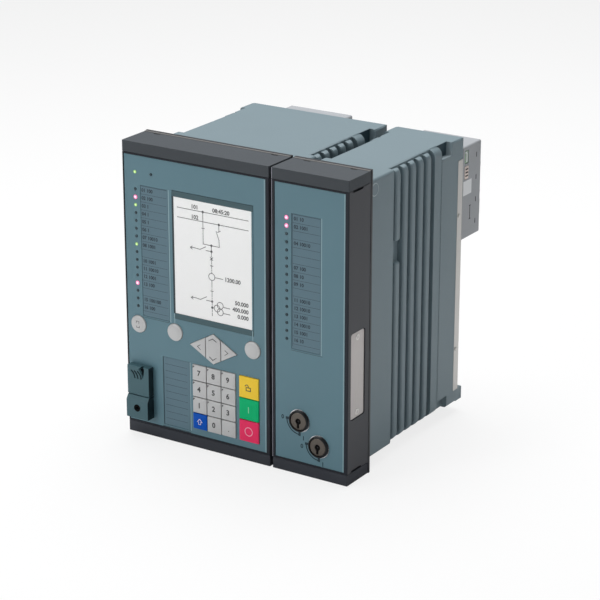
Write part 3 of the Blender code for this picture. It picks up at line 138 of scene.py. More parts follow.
def add_node(tree, kind, **values):
    """A node whose inputs, named with underscores for spaces, are fed."""
    node = tree.nodes.new(kind)
    for label, value in values.items():
        feed(tree, node.inputs[label.replace("_", " ")], value)
    return node


def add_math(tree, operation, first, second):
    """A math node between two sockets or numbers."""
    node = tree.nodes.new("ShaderNodeMath")
    node.operation = operation
    feed(tree, node.inputs[0], first)
    feed(tree, node.inputs[1], second)
    return node.outputs[0]


def add_noise(tree, vector, scale, detail, roughness=0.5):
    """A noise texture on a vector."""
    return add_node(tree, "ShaderNodeTexNoise", Vector=vector, Scale=scale, Detail=detail,
                    Roughness=roughness).outputs["Fac"]


def add_swing(tree, noise, amount):
    """Noise about zero, times an amount."""
    return add_math(tree, "MULTIPLY", add_math(tree, "SUBTRACT", noise, 0.5), amount)


def add_scaled(tree, colour, factor):
    """A colour made lighter or darker by a factor."""
    node = tree.nodes.new("ShaderNodeVectorMath")
    node.operation = "SCALE"
    feed(tree, node.inputs[0], colour)
    feed(tree, node.inputs["Scale"], factor)
    return node.outputs[0]


def add_mix(tree, factor, first, second, blend="MIX"):
    """A colour mix of sockets or colours."""
    node = tree.nodes.new("ShaderNodeMix")
    node.data_type = "RGBA"
    node.blend_type = blend
    for key, value in (("Factor", factor), (6, first), (7, second)):
        feed(tree, node.inputs[key], value)
    return node.outputs[2]


def remap(tree, value, low, high, new_low=0.0, new_high=1.0):
    """A clamped linear change of range."""
    return add_node(tree, "ShaderNodeMapRange", Value=value, From_Min=low, From_Max=high, To_Min=new_low,
                    To_Max=new_high).outputs["Result"]


def coordinate(tree, vector, axis):
    """One coordinate of a vector."""
    return add_node(tree, "ShaderNodeSeparateXYZ", Vector=vector).outputs[axis]


def moulded_grain_group():
    """Fine spark-eroded or cast grain with slow patches of lighter and darker colour."""
    group, given = new_group("moulded_grain", [
        ("Vector", "Vector", None), ("Colour", "Color", (0.5, 0.5, 0.5, 1)), ("Patchiness", "Float", 0.06),
        ("Grain Scale", "Float", 1800.0), ("Roughness", "Float", 0.5), ("Roughness Spread", "Float", 0.1)])
    patches = add_noise(group, given["Vector"], 22.0, 3.0)
    grain = add_noise(group, given["Vector"], given["Grain Scale"], 3.0, 0.6)
    uneven = add_math(group, "ADD", add_swing(group, patches, given["Patchiness"]),
                      add_swing(group, grain, given["Patchiness"]))
    shaded = add_scaled(group, given["Colour"], add_math(group, "ADD", uneven, 1.0))
    rough = add_math(group, "ADD", given["Roughness"], add_swing(group, grain, given["Roughness Spread"]))
    return close_group(group, shaded, rough, grain)


def brushed_group():
    """Fine straight rolling or brushing marks along one direction."""
    group, given = new_group("brushed_marks", [
        ("Vector", "Vector", None), ("Colour", "Color", (0.5, 0.5, 0.5, 1)), ("Contrast", "Float", 0.2),
        ("Roughness", "Float", 0.35)])
    streaks = add_noise(group, given["Vector"], 1.0, 4.0, 0.65)
    swing = add_swing(group, streaks, given["Contrast"])
    shaded = add_scaled(group, given["Colour"], add_math(group, "ADD", swing, 1.0))
    rough = add_math(group, "ADD", given["Roughness"], swing)
    return close_group(group, shaded, rough, streaks)


MOULDED_GRAIN = moulded_grain_group()
BRUSHED_MARKS = brushed_group()


def start_material(name, metallic=0.0, coat=0.0, specular=0.5):
    """A material with its own shader, and object coordinates to build on."""
    material = bpy.data.materials.new(name)
    material.use_nodes = True
    tree = material.node_tree
    shader = tree.nodes["Principled BSDF"]
    for label, value in (("Metallic", metallic), ("Coat Weight", coat), ("Coat Roughness", 0.2),
                         ("Specular IOR Level", specular)):
        feed(tree, shader.inputs[label], value)
    return material, tree, shader, tree.nodes.new("ShaderNodeTexCoord").outputs["Object"]


def apply_effect(tree, shader, group, depth, values):
    """A shared effect with this material's values, as colour, roughness and, where it has depth, relief."""
    effect = tree.nodes.new("ShaderNodeGroup")
    effect.node_tree = group
    for label, value in values.items():
        feed(tree, effect.inputs[label], value)
    feed(tree, shader.inputs["Base Color"], effect.outputs["Colour"])
    feed(tree, shader.inputs["Roughness"], effect.outputs["Roughness"])
    if depth:
        bump = add_node(tree, "ShaderNodeBump", Strength=1.0, Distance=depth,
                        Height=effect.outputs["Height"])
        feed(tree, shader.inputs["Normal"], bump.outputs["Normal"])


def moulded(name, colour, roughness=0.5, spread=0.12, patchiness=0.08, grain=1800.0, depth=0.00002,
            metallic=0.0, specular=0.5):
    """Moulded plastic, paint or foil with a fine grain; its colour is one tone or a mixing function."""
    material, tree, shader, vector = start_material(name, metallic, specular=specular)
    apply_effect(tree, shader, MOULDED_GRAIN, depth, {
        "Vector": vector, "Colour": colour(tree, vector) if callable(colour) else colour,
        "Patchiness": patchiness, "Grain Scale": grain, "Roughness": roughness, "Roughness Spread": spread})
    return material


def brushed(name, colour, roughness=0.35, contrast=0.25, stretch=(900.0, 900.0, 900.0), metallic=1.0):
    """Bare metal with fine marks along the direction of the smallest stretch."""
    material, tree, shader, vector = start_material(name, metallic)
    marks = add_node(tree, "ShaderNodeMapping", Vector=vector, Scale=stretch).outputs["Vector"]
    apply_effect(tree, shader, BRUSHED_MARKS, 0.00001, {
        "Vector": marks, "Colour": colour, "Contrast": contrast, "Roughness": roughness})
    return material


def lit(name, colour, glow, strength):
    """A lens with a lamp behind it."""
    material = moulded(name, colour, 0.2, 0.05, 0.1, 900.0, depth=None)
    shader = material.node_tree.nodes["Principled BSDF"]
    shader.inputs["Emission Color"].default_value = glow
    shader.inputs["Emission Strength"].default_value = strength
    return material


def bezel_colour(tree, vector):
    """Dark grey, with a nearly black front rim that is painted shade."""
    rim = place(0, 0.0007, 0).y
    # Painted shade: nearly black along the front rim, dark grey behind it.
    body = remap(tree, coordinate(tree, vector, "Y"), rim, rim + 0.0002)
    return add_mix(tree, body, tone(31, 35, 43), tone(74, 75, 79))


def port_colour(tree, vector):
    """Teal, with painted shade down the right flank."""
    flank = place(PORT_RIGHT, 0, 0).x
    # Painted shade: the colour goes near black down the right flank.
    flank_shade = remap(tree, coordinate(tree, vector, "X"), flank - 0.0004, flank - 0.0002)
    return add_mix(tree, flank_shade, tone(68, 100, 108), tone(8, 32, 38))


BEZEL_PLASTIC = moulded("bezel_plastic", bezel_colour, 0.55, patchiness=0.1, grain=2600.0, depth=0.00004,
                        specular=0.3)
PORT_PLASTIC = moulded("port_plastic", port_colour, grain=2200.0, depth=0.00003, specular=0.35)
CAP_PLASTIC = moulded("cap_plastic", tone(66, 71, 76), 0.6, patchiness=0.10, grain=2600.0, depth=0.00004,
                      specular=0.3)
LOWER_CAP_PLASTIC = moulded("lower_cap_plastic", tone(58, 61, 68), 0.55, patchiness=0.10, grain=2600.0,
                            depth=0.00004, specular=0.25)
# Lighter grey than the cap: painted highlight along the raised lip's top edge.
CAP_LIP_HIGHLIGHT = moulded("cap_lip", tone(100, 99, 98), patchiness=0.10, grain=2600.0, depth=0.00003)
# Dark blocks where the slots are: painted shade inside them.
DARK_SLIT = moulded("dark_slit", tone(34, 33, 33), 0.6)
# A pale strip: painted highlight on the second bezel's left edge.
PAINTED_BEZEL_HIGHLIGHT = moulded("painted_bezel_highlight", tone(150, 150, 162), 0.4, patchiness=0.06, grain=2600.0)
CAST_PAINT = moulded("cast_paint", tone(113, 130, 137), patchiness=0.07, grain=900.0, depth=0.00006)
CAST_MARK = moulded("cast_mark", tone(160, 174, 180), 0.45, patchiness=0.06, grain=900.0)
NOTCH_SHADE = moulded("notch_shade", tone(38, 62, 72), 0.55, patchiness=0.06, grain=900.0)
FLANGE_PAINT = moulded("flange_paint", tone(42, 44, 48), 0.45, grain=1500.0, depth=0.00003)

PANEL_FOIL = moulded("panel_foil", tone(92, 128, 140), 0.42, patchiness=0.05, grain=3200.0, depth=0.00001)
DARK_BAND = moulded("dark_band", tone(58, 88, 95), 0.40, patchiness=0.05, grain=3200.0, depth=0.00001)
PAINTED_EDGE_HIGHLIGHT = moulded("painted_edge_highlight", tone(142, 170, 178), 0.35, patchiness=0.04, grain=2500.0)
DARK_LINE = moulded("dark_line", tone(58, 78, 86), patchiness=0.04, grain=2500.0)
STEP_SHADE = moulded("step_shade", tone(34, 50, 56), patchiness=0.05)
LABEL_FILM = moulded("label_film", tone(90, 119, 132), patchiness=0.05, grain=3000.0)
LABEL_INK = moulded("label_ink", tone(34, 50, 62), 0.6, patchiness=0.10, grain=4000.0)
SCREEN_INK = moulded("screen_ink", tone(80, 80, 82), patchiness=0.06, grain=6000.0)
ARC_INK = moulded("arc_ink", tone(12, 46, 58), patchiness=0.05)
LAMP_GLOW = moulded("lamp_glow", tone(158, 118, 144), patchiness=0.04)
LENS_OFF = moulded("lens_off", tone(44, 62, 70), 0.25, patchiness=0.1, grain=2000.0)
LENS_RED = lit("lens_red", tone(235, 130, 170), tone(250, 150, 188), 0.85)
LENS_RED_CORE = lit("lens_red_core", tone(255, 235, 245), tone(255, 235, 245), 1.3)
LENS_GREEN = lit("lens_green", tone(150, 190, 110), tone(165, 205, 110), 0.6)
LENS_GREEN_CORE = lit("lens_green_core", tone(225, 245, 200), tone(225, 245, 185), 0.9)

SILVER_KEY = moulded("silver_key", tone(196, 196, 196), 0.34, patchiness=0.06, grain=5000.0, depth=0.00001,
                     metallic=0.15)
YELLOW_KEY = moulded("yellow_key", tone(252, 210, 38), 0.40, patchiness=0.04, grain=4000.0)
GREEN_KEY = moulded("green_key", tone(0, 184, 116), 0.45, patchiness=0.04, grain=4000.0, specular=0.15)
RED_KEY = moulded("red_key", tone(244, 50, 102), 0.45, patchiness=0.04, grain=4000.0, specular=0.2)
BLUE_KEY = moulded("blue_key", tone(0, 84, 188), 0.45, patchiness=0.04, grain=4000.0, specular=0.15)
FIGURE_INK = moulded("figure_ink", tone(62, 62, 64), grain=5000.0)
WHITE_INK = moulded("white_ink", tone(240, 226, 232), patchiness=0.04, grain=5000.0)
PALE_GREEN_INK = moulded("pale_green_ink", tone(150, 220, 180), patchiness=0.04)
PALE_RED_INK = moulded("pale_red_ink", tone(250, 170, 195), patchiness=0.04)
RUBBER = moulded("mat_rubber", tone(70, 70, 72), 0.75, patchiness=0.06)

LOCK_RING = moulded("lock_ring", tone(24, 24, 26), 0.40, patchiness=0.06, grain=1500.0, specular=0.3)
# Near black with little sheen: painted shade in holes, slots and the keyway.
RECESS_SHADE = moulded("painted_recess_shade", tone(6, 6, 7), 0.8, patchiness=0.1, specular=0.12)
POCKET_SHADE = moulded("pocket_shade", tone(8, 22, 27), 0.6, patchiness=0.06, specular=0.2)
TERMINAL_PLASTIC = moulded("terminal_plastic", tone(160, 163, 167), 0.55, patchiness=0.06, grain=2000.0,
                           depth=0.00003)
PALE_GREEN_PART = moulded("pale_green_part", tone(150, 176, 150), patchiness=0.1)
PALE_FRAME = moulded("pale_frame", tone(222, 206, 198))
WHITE_LABEL = moulded("white_label", tone(226, 228, 230), patchiness=0.03, grain=3000.0)

WASHER_METAL = brushed("washer_metal", tone(225, 225, 228), 0.22, 0.15)
BARREL_METAL = brushed("barrel_metal", tone(104, 98, 92), 0.42, 0.3, (1200.0, 1200.0, 1200.0))
BARE_SHEET = brushed("bare_sheet", tone(188, 186, 183), 0.40, 0.22, (1800.0, 1800.0, 30.0))
SIDE_SHEET = brushed("side_sheet", tone(190, 185, 183), 0.45, 0.45, (1800.0, 1800.0, 60.0), metallic=0.6)
BRASS = brushed("brass", tone(206, 176, 120), 0.35, 0.2)
SCREW_METAL = brushed("screw_metal", tone(214, 212, 208), 0.3, 0.2)


def screen_material():
    """A pale reflective screen: a faint pixel grid and a slightly greyer lower end."""
    material, tree, shader, vector = start_material("screen", coat=0.3)
    height = remap(tree, coordinate(tree, vector, "Z"), 0.12, 0.224)
    base = add_mix(tree, height, tone(222, 222, 222), tone(232, 233, 233))
    flat = add_node(tree, "ShaderNodeMapping", Vector=vector, Rotation=(-math.pi / 2, 0, 0)).outputs[0]
    pitch, gap = 0.00033, 0.00003
    dots = add_node(tree, "ShaderNodeTexBrick", Vector=flat, Scale=1.0, Brick_Width=pitch, Row_Height=pitch,
                    Mortar_Size=gap, Color1=(1, 1, 1, 1), Color2=(0.985, 0.985, 0.985, 1),
                    Mortar=(0.94, 0.94, 0.94, 1))
    dots.offset = 0.0
    for label, value in (("Base Color", add_mix(tree, 1.0, base, dots.outputs["Color"], "MULTIPLY")),
                         ("Roughness", 0.3), ("Emission Color", (1, 0.99, 0.97, 1)),
                         ("Emission Strength", 0.20)):
        feed(tree, shader.inputs[label], value)
    return material


def board_material():
    """A circuit board: green mask over pale traces."""
    material, tree, shader, vector = start_material("circuit_board", coat=0.2)
    cells = add_node(tree, "ShaderNodeTexVoronoi", Vector=vector, Scale=260.0)
    cells.distance = "MANHATTAN"
    traces = remap(tree, cells.outputs["Distance"], 0.10, 0.16, 1.0, 0.0)
    feed(tree, shader.inputs["Base Color"], add_mix(tree, traces, tone(22, 92, 58), tone(60, 140, 84)))
    feed(tree, shader.inputs["Roughness"], remap(tree, traces, 0.0, 1.0, 0.45, 0.3))
    return material


SCREEN = screen_material()
BOARD = board_material()


# Mesh tools

def shifted(x, z, *path):
    """Points given in millimetres from a place on the front."""
    return [(x + across * MILLIMETRE, z + up * MILLIMETRE) for across, up in path]


def block(mesh, low, high):
    """A box between two corners of the front frame."""
    low, high = place(*low), place(*high)
    matrix = Matrix.Translation((low + high) / 2) @ Matrix.Diagonal((*(high - low), 1))
    return bmesh.ops.create_cube(mesh, size=1, matrix=matrix)["verts"]


def edges_of(verts, test):
    """The edges among fresh vertices that pass a test."""
    return list({edge for vert in verts for edge in vert.link_edges if test(edge)})


def runs_along(edge, axis):
    direction = edge.verts[1].co - edge.verts[0].co
    nearly_all = 0.99 * direction.length
    return abs(direction["XYZ".index(axis)]) > nearly_all


def sharp_edges(mesh, angle=30, test=lambda edge: True):
    limit = math.radians(angle)
    return [edge for edge in mesh.edges
            if len(edge.link_faces) == 2 and edge.calc_face_angle(0) > limit and test(edge)]


def round_edges(mesh, edges, width, segments=2, clamp=True):
    bmesh.ops.bevel(mesh, geom=edges, offset=width, segments=segments, affect="EDGES", profile=0.5,
                    material=-1, clamp_overlap=clamp)


def rounded_block(mesh, low, high, width, segments=2):
    """A box with all its edges rounded."""
    verts = block(mesh, low, high)
    round_edges(mesh, edges_of(verts, lambda edge: True), width, segments)


def spun(mesh, centre, outline, axis, steps):
    """A closed body made by turning an open outline of offsets from a centre."""
    verts = [mesh.verts.new(centre + Vector(offset)) for offset in outline]
    edges = [mesh.edges.new(pair) for pair in zip(verts, verts[1:])]
    bmesh.ops.spin(mesh, geom=verts + edges, cent=centre, axis=axis, angle=2 * math.pi, steps=steps,
                   use_merge=True)


def turned(mesh, x, z, profile, steps=32):
    """A body turned about a line along Y; the profile gives radius and depth, front to back."""
    spun(mesh, place(x, 0, z), [(radius, depth, 0) for radius, depth in profile], (0, 1, 0), steps)


def turned_side(mesh, x, y, z, profile, steps=24):
    """A body turned about a line along X; the profile gives radius and reach to the right."""
    spun(mesh, place(x, y, z), [(reach, 0, radius) for radius, reach in profile], (1, 0, 0), steps)


def ring(mesh, x, z, inner, outer, low, high, steps=32):
    """A flat ring between two depths."""
    turned(mesh, x, z, [(inner, low), (outer, low), (outer, high), (inner, high), (inner, low)], steps)


def disc(mesh, x, z, radius, low, high, steps=24):
    """A round plate between two depths."""
    turned(mesh, x, z, [(0, low), (radius, low), (radius, high), (0, high)], steps)


def arc_band(mesh, x, z, inner, outer, low, high, start, end, steps):
    """Part of a flat ring; angles in degrees, from the right and turning upwards."""
    centre = place(x, 0, z)
    cosine, sine = math.cos(math.radians(start)), math.sin(math.radians(start))
    verts = [mesh.verts.new(centre + Vector((radius * cosine, depth, radius * sine)))
             for radius, depth in ((inner, low), (outer, low), (outer, high), (inner, high))]
    bmesh.ops.spin(mesh, geom=[mesh.faces.new(verts)], cent=centre, axis=(0, -1, 0),
                   angle=math.radians(end - start), steps=steps)


def stroke(mesh, start, end, width, low, high):
    """A straight printed line between two points of the front."""
    (x_low, z_low), (x_high, z_high) = start, end
    run = Vector((x_high - x_low, 0, z_high - z_low))
    middle = place((x_low + x_high) / 2, (low + high) / 2, (z_low + z_high) / 2)
    turn = Matrix.Rotation(-math.atan2(run.z, run.x), 4, "Y")
    matrix = Matrix.Translation(middle) @ turn @ Matrix.Diagonal((run.length + width, high - low, width, 1))
    bmesh.ops.create_cube(mesh, size=1, matrix=matrix)


def strokes(mesh, points, width, low, high):
    for start, end in zip(points, points[1:]):
        stroke(mesh, start, end, width, low, high)


def add_object(name, data):
    item = bpy.data.objects.new(name, data)
    bpy.context.scene.collection.objects.link(item)
    return item


def final_mesh(item):
    """An object's own shape with its modifiers applied."""
    bpy.context.view_layer.update()
    return bpy.data.meshes.new_from_object(item.evaluated_get(bpy.context.evaluated_depsgraph_get()))


def settled_data(name, mesh):
    """A finished mesh with its doubles merged and its faces pointing outwards; the bmesh is used up."""
    bmesh.ops.remove_doubles(mesh, verts=mesh.verts, dist=MERGE / 4)
    bmesh.ops.recalc_face_normals(mesh, faces=mesh.faces)
    data = bpy.data.meshes.new(name)
    mesh.to_mesh(data)
    mesh.free()
    return data


def figures(mesh, text, size, x, z, low, high, align="CENTER"):
    """Plain figures printed on the front, centred on x and z."""
    curve = bpy.data.curves.new("figures", "FONT")
    curve.body = text
    curve.size = size
    curve.align_x = align
    curve.align_y = "CENTER"
    curve.extrude = (high - low) / 2
    curve.offset = size * BOLDNESS
    curve.resolution_u = 3
    holder = add_object("figures", curve)
    flat = final_mesh(holder)
    bpy.data.objects.remove(holder, do_unlink=True)
    before = set(mesh.verts)
    mesh.from_mesh(flat)
    bpy.data.meshes.remove(flat)
    fresh = [vert for vert in mesh.verts if vert not in before]
    matrix = Matrix.Translation(place(x, (low + high) / 2, z)) @ Matrix.Rotation(math.pi / 2, 4, "X")
    bmesh.ops.transform(mesh, verts=fresh, matrix=matrix)


def cut(mesh, tool):
    """Cut a tool's shape out of a mesh; both are used up, and what is left comes back."""
    holders = [add_object("cutting", settled_data("cutting", shape)) for shape in (mesh, tool)]
    modifier = holders[0].modifiers.new("cut", "BOOLEAN")
    modifier.object = holders[1]
    modifier.solver = "EXACT"
    rest = final_mesh(holders[0])
    for holder in holders:
        bpy.data.objects.remove(holder, do_unlink=True)
    result = bmesh.new()
    result.from_mesh(rest)
    bpy.data.meshes.remove(rest)
    return result


def piece(name, mesh, body, material, replaces=(), smooth=30):
    """Turn a finished mesh into a piece that rides on a body."""
    data = settled_data(name, mesh)
    data.shade_smooth()
    data.set_sharp_from_angle(angle=math.radians(smooth))
    data.materials.append(material)
    item = add_object(name, data)
    item.modifiers.new("even_shading", "WEIGHTED_NORMAL").keep_sharp = True
    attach(item, body)
    if replaces:
        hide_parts(*replaces)


def merged_copy(node):
    """A CAD node's shape as one connected mesh with flat faces joined up."""
    mesh = bmesh.new()
    mesh.from_mesh(frame["nodes"][node].data)
    bmesh.ops.remove_doubles(mesh, verts=mesh.verts, dist=MERGE)
    bmesh.ops.dissolve_degenerate(mesh, edges=mesh.edges, dist=MERGE)
    bmesh.ops.dissolve_limit(mesh, angle_limit=math.radians(1), verts=mesh.verts, edges=mesh.edges)
    return mesh


def soften(node, material, width, segments=2, name=None):
    """A CAD node's shape again, with its edges finely rounded."""
    mesh = merged_copy(node)
    round_edges(mesh, sharp_edges(mesh), width, segments)
    piece(name or f"{node}_finished", mesh, frame["nodes"][node]["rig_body"], material, (node,))


def dress(node, material):
    """A CAD node that keeps its shape gets a finished material."""
    for holder in frame["nodes"][node].material_slots:
        holder.material = material


# Covers, bezels and caps

def make_casing():
    for module in MODULES:
        soften(f"{module}_bezel", BEZEL_PLASTIC, 0.0003)
        soften(f"{module}_top_cap", CAP_PLASTIC, 0.0003)
        soften(f"{module}_bottom_cap", LOWER_CAP_PLASTIC, 0.0003)
        soften(f"{module}_flange", FLANGE_PAINT, 0.0002, 1)
        dress(f"{module}_rear_plate", BARE_SHEET)
        dress(f"{module}_front_panel", PANEL_FOIL)
        dress(f"{module}_label_strip", LABEL_FILM)
        dress(f"{module}_light_guide", LENS_OFF)
    dress("function_label_strip", LABEL_FILM)


CAP_SPANS = ((0.0, 0.1485), (0.1510, 0.2250))
CAP_TOP = 0.2654
LIP_FRONT, LIP_BACK, LIP_INSET = 0.0318, 0.03425, 0.0004
SLIT_FRONT = 0.0296
SLIT_SHAPES = ((0.0060, 0.0306), (0.0007, 0.0320))
HIGHLIGHT_X, HIGHLIGHT_WIDTH = 0.15135, 0.0005


def make_cap_details():
    """The raised lip behind each top cap, lighter as painted highlight; its two catch slots, dark as painted
    shade; and a painted highlight on the second bezel's left edge.
    """
    lip, slits, highlight_strip = bmesh.new(), bmesh.new(), bmesh.new()
    for left, right in CAP_SPANS:
        rounded_block(lip, (left + LIP_INSET, LIP_FRONT, CAP_TOP - 0.0006),
                      (right - LIP_INSET, LIP_BACK, CAP_TOP + 0.0004), 0.0002)
        for start in (left + 0.0120, right - 0.0170):
            for width, back in SLIT_SHAPES:
                block(slits, (start, SLIT_FRONT, CAP_TOP - 0.0004), (start + width, back, CAP_TOP + 0.0003))
    # Painted highlight down the left front edge of the second bezel, in two runs.
    for low, high in ((0.0112, 0.2550), (0.2560, 0.2648)):
        stroke(highlight_strip, (HIGHLIGHT_X, low), (HIGHLIGHT_X, high), HIGHLIGHT_WIDTH, -0.00005, 0.0002)
    piece("cap_lips", lip, HOME, CAP_LIP_HIGHLIGHT)
    piece("cap_slits", slits, HOME, DARK_SLIT)
    piece("bezel_highlight_strip", highlight_strip, HOME, PAINTED_BEZEL_HIGHLIGHT)


# Cast housings

HOUSING_TOP, SUNK_TOP = 0.2555, 0.2552
SUNK_BACK = 0.1600
FIN_REACH = 0.00617
FIN_ROUNDING = 0.0021
FIN_DEPTHS = (0.0760, 0.1440)
FIN_GAP = (0.1730, 0.1915)
CREST_REACH, GAP_REACH = 0.0030, 0.0040
HEAD_DEPTHS = (0.0785, 0.1425)
HEAD_DROP, HEAD_FALL = 0.0020, 0.0040
CLEAR = 0.0010


def fin_head_tool(low, high):
    """What is taken off above the fins on both flanks, so that each one ends in a round head."""
    tool = bmesh.new()
    top = place(0, 0, HOUSING_TOP).z
    near, far = (place(0, depth, 0).y for depth in HEAD_DEPTHS)
    for crest, inward in ((low.x, 1), (high.x, -1)):
        root = crest + inward * FIN_REACH
        outline = [(root, top + CLEAR)]
        for angle in range(0, 91, 10):
            turn = math.radians(angle)
            outline.append((root + (crest - root) * math.sin(turn),
                            top - HEAD_DROP - HEAD_FALL * (1 - math.cos(turn))))
        outline.append((crest - inward * CLEAR, top - HEAD_DROP - HEAD_FALL))
        outline.append((crest - inward * CLEAR, top + CLEAR))
        face = tool.faces.new([tool.verts.new((x, near, z)) for x, z in outline])
        grown = bmesh.ops.extrude_face_region(tool, geom=[face])["geom"]
        bmesh.ops.translate(tool, vec=(0, far - near, 0),
                            verts=[part for part in grown if isinstance(part, bmesh.types.BMVert)])
    return tool


def make_housing(module):
    """The cast housing with well rounded fins, and the shade in the notch at its top."""
    node = f"{module}_housing"
    low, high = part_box(node)
    mesh = merged_copy(node)
    gap_ends = [place(0, 0, level).z for level in FIN_GAP]
    first_wall, last_wall = (place(0, depth, 0).y for depth in FIN_DEPTHS)

    def on_fin_crest(edge):
        start, end = edge.verts[0].co, edge.verts[1].co
        middle = (start + end) / 2
        inset = min(abs(middle.x - low.x), abs(middle.x - high.x))
        in_wall = abs(start.y - end.y) < MERGE and first_wall < middle.y < last_wall
        at_gap = min(abs(middle.z - level) for level in gap_ends) < MERGE
        if at_gap and runs_along(edge, "X"):
            return inset < GAP_REACH
        return inset < CREST_REACH and (in_wall or at_gap)

    sunk, flush = place(0, 0, SUNK_TOP).z, place(0, 0, HOUSING_TOP).z
    for vert in mesh.verts:
        if abs(vert.co.z - sunk) < MERGE and vert.co.y < place(0, SUNK_BACK, 0).y:
            vert.co.z = flush
    round_edges(mesh, sharp_edges(mesh, 60, on_fin_crest), FIN_ROUNDING, 4, clamp=False)
    mesh = cut(mesh, fin_head_tool(low, high))
    piece(f"{node}_finished", mesh, HOME, CAST_PAINT, (node,))
    shade = bmesh.new()
    right = box_of(node)[1][0]
    rounded_block(shade, (right - 0.0062, 0.1568, 0.2438), (right - 0.0058, 0.1732, 0.2553), 0.0001, 1)
    piece(f"{module}_notch_shade", shade, HOME, NOTCH_SHADE)


# Front panel: lamps, labels and printed lines

LAMP_PITCH = 0.0070
LAMP_ROWS = 16
LAMP_RADIUS = 0.00105
LAMP_FRONT = -0.0001
GLOW_RADIUS = 0.0023
CORE_RISE = 0.00008
STATE_LAMPS = ((0.0130, 0.2392), (0.0296, 0.2392))
LAMP_COLUMNS = {"base": (0.0130, 0.2241), "expansion": (0.1654, 0.2251)}
RED_ROWS = {"base": (1, 12), "expansion": (0, 1)}
GREEN_ROWS = {"base": (2, 7), "expansion": ()}
LABEL_EDGES = {"base": (0.0180, 0.0447), "expansion": (0.1711, 0.1977)}
LABEL_FIGURES = {
    "base": ("01 100", "02 100", "03 1", "04 1", "05 1", "06 1", "07 10010", "08 1001", "", "10 1001",
             "11 10010", "12 1001", "13 100", "", "15 100100", "16 100"),
    "expansion": ("01 10", "02 1001", "", "04 10010", "", "", "07 100", "08 10", "09 10", "", "11 10010",
                  "12 10010", "13 1001", "14 10010", "15 1001", "16 10"),
}
RULE_WIDTH = 0.0002
PLAIN_RULES = 9
PLAIN_TOP, PLAIN_PITCH = 0.0714, 0.0063
PLAIN_LEFT, PLAIN_RIGHT = 0.0404, 0.0632


def lens(mesh, x, z, radius, front):
    """A small domed lens over a lamp."""
    turned(mesh, x, z, [(0, front), (radius * 0.6, front + 0.00008), (radius, front + 0.0003),
                        (radius, PANEL_FACE), (0, PANEL_FACE)], 16)


def make_lamps():
    """Status lamps: dark when off, glowing when lit."""
    off, glow = bmesh.new(), bmesh.new()
    lit_spots = {"red": [], "green": [STATE_LAMPS[0]]}
    for module, (x, top) in LAMP_COLUMNS.items():
        for row in range(LAMP_ROWS):
            spot = (x, top - row * LAMP_PITCH)
            if row in RED_ROWS[module]:
                lit_spots["red"].append(spot)
            elif row in GREEN_ROWS[module]:
                lit_spots["green"].append(spot)
            else:
                lens(off, *spot, LAMP_RADIUS, LAMP_FRONT)
    lens(off, *STATE_LAMPS[1], LAMP_RADIUS, LAMP_FRONT)
    piece("lenses_off", off, HOME, LENS_OFF)
    for colour, rim, core, radius in (("red", LENS_RED, LENS_RED_CORE, 0.0017),
                                      ("green", LENS_GREEN, LENS_GREEN_CORE, 0.0014)):
        outer, inner = bmesh.new(), bmesh.new()
        for spot in lit_spots[colour]:
            lens(outer, *spot, radius, LAMP_FRONT)
            lens(inner, *spot, radius / 2, LAMP_FRONT - CORE_RISE)
        piece(f"lenses_{colour}", outer, HOME, rim)
        piece(f"lenses_{colour}_core", inner, HOME, core)
    # Painted glow: a flat pink disc on the panel round each lit red lamp.
    for spot in lit_spots["red"]:
        disc(glow, *spot, GLOW_RADIUS, *ON_PANEL)
    piece("lamp_glow", glow, HOME, LAMP_GLOW)


def make_label_print():
    """Numbered rows on the label strips, and ruled lines on the plain function label."""
    mesh = bmesh.new()

    def rule(left, right, z):
        stroke(mesh, (left, z), (right, z), RULE_WIDTH, *ON_LABEL)

    for module, (_, top) in LAMP_COLUMNS.items():
        left, right = LABEL_EDGES[module]
        upper = top + LAMP_PITCH / 2
        rule(left, right, upper)
        stroke(mesh, (left, upper), (left, top - 15.8 * LAMP_PITCH), 0.0003, *ON_LABEL)
        for row, text in enumerate(LABEL_FIGURES[module]):
            z = top - row * LAMP_PITCH
            rule(left, right, z - LAMP_PITCH / 2)
            if text:
                figures(mesh, text, 0.0042, left + 0.0012, z, *ON_LABEL, "LEFT")
    for row in range(PLAIN_RULES):
        rule(PLAIN_LEFT, PLAIN_RIGHT, PLAIN_TOP - row * PLAIN_PITCH)
    piece("label_print", mesh, HOME, LABEL_INK)


def make_panel_lines():
    """Painted highlights down the right edges of the foil and the label pockets, and dark lines at the label
    pockets, one of them painted shade on the left side of the function label's pocket.
    """
    light, dark = bmesh.new(), bmesh.new()
    # Painted highlights: light strokes down the right edges of the foil and the label pockets.
    for x, low, high, width in ((0.0473, 0.1110, 0.2283, 0.0009), (0.0515, 0.1108, 0.1150, 0.0008),
                                (0.1316, 0.1108, 0.1150, 0.0008), (0.0668, 0.0150, 0.0775, 0.0008),
                                (0.1441, 0.0130, 0.2530, 0.0010), (0.1991, 0.1120, 0.2293, 0.0008),
                                (0.2208, 0.0130, 0.2530, 0.0009)):
        stroke(light, (x, low), (x, high), width, *ON_PANEL)
    for x in (0.0515, 0.1316):
        stroke(light, (x, 0.1155), (x, 0.1192), 0.0008, *ON_BAND)
    # Dark lines under the labels, and painted shade down the left side of the function label's pocket.
    for start, end, width in (((0.0180, 0.1098), (0.0457, 0.1098), 0.0004),
                              ((0.1697, 0.1108), (0.2001, 0.1108), 0.0004),
                              ((0.0370, 0.0129), (0.0660, 0.0129), 0.0009),
                              ((0.0381, 0.0148), (0.0381, 0.0775), 0.0005)):
        stroke(dark, start, end, width, *ON_PANEL)
    piece("panel_painted_highlights", light, HOME, PAINTED_EDGE_HIGHLIGHT)
    piece("panel_dark_lines", dark, HOME, DARK_LINE)


# Display: its drawing is written in millimetres

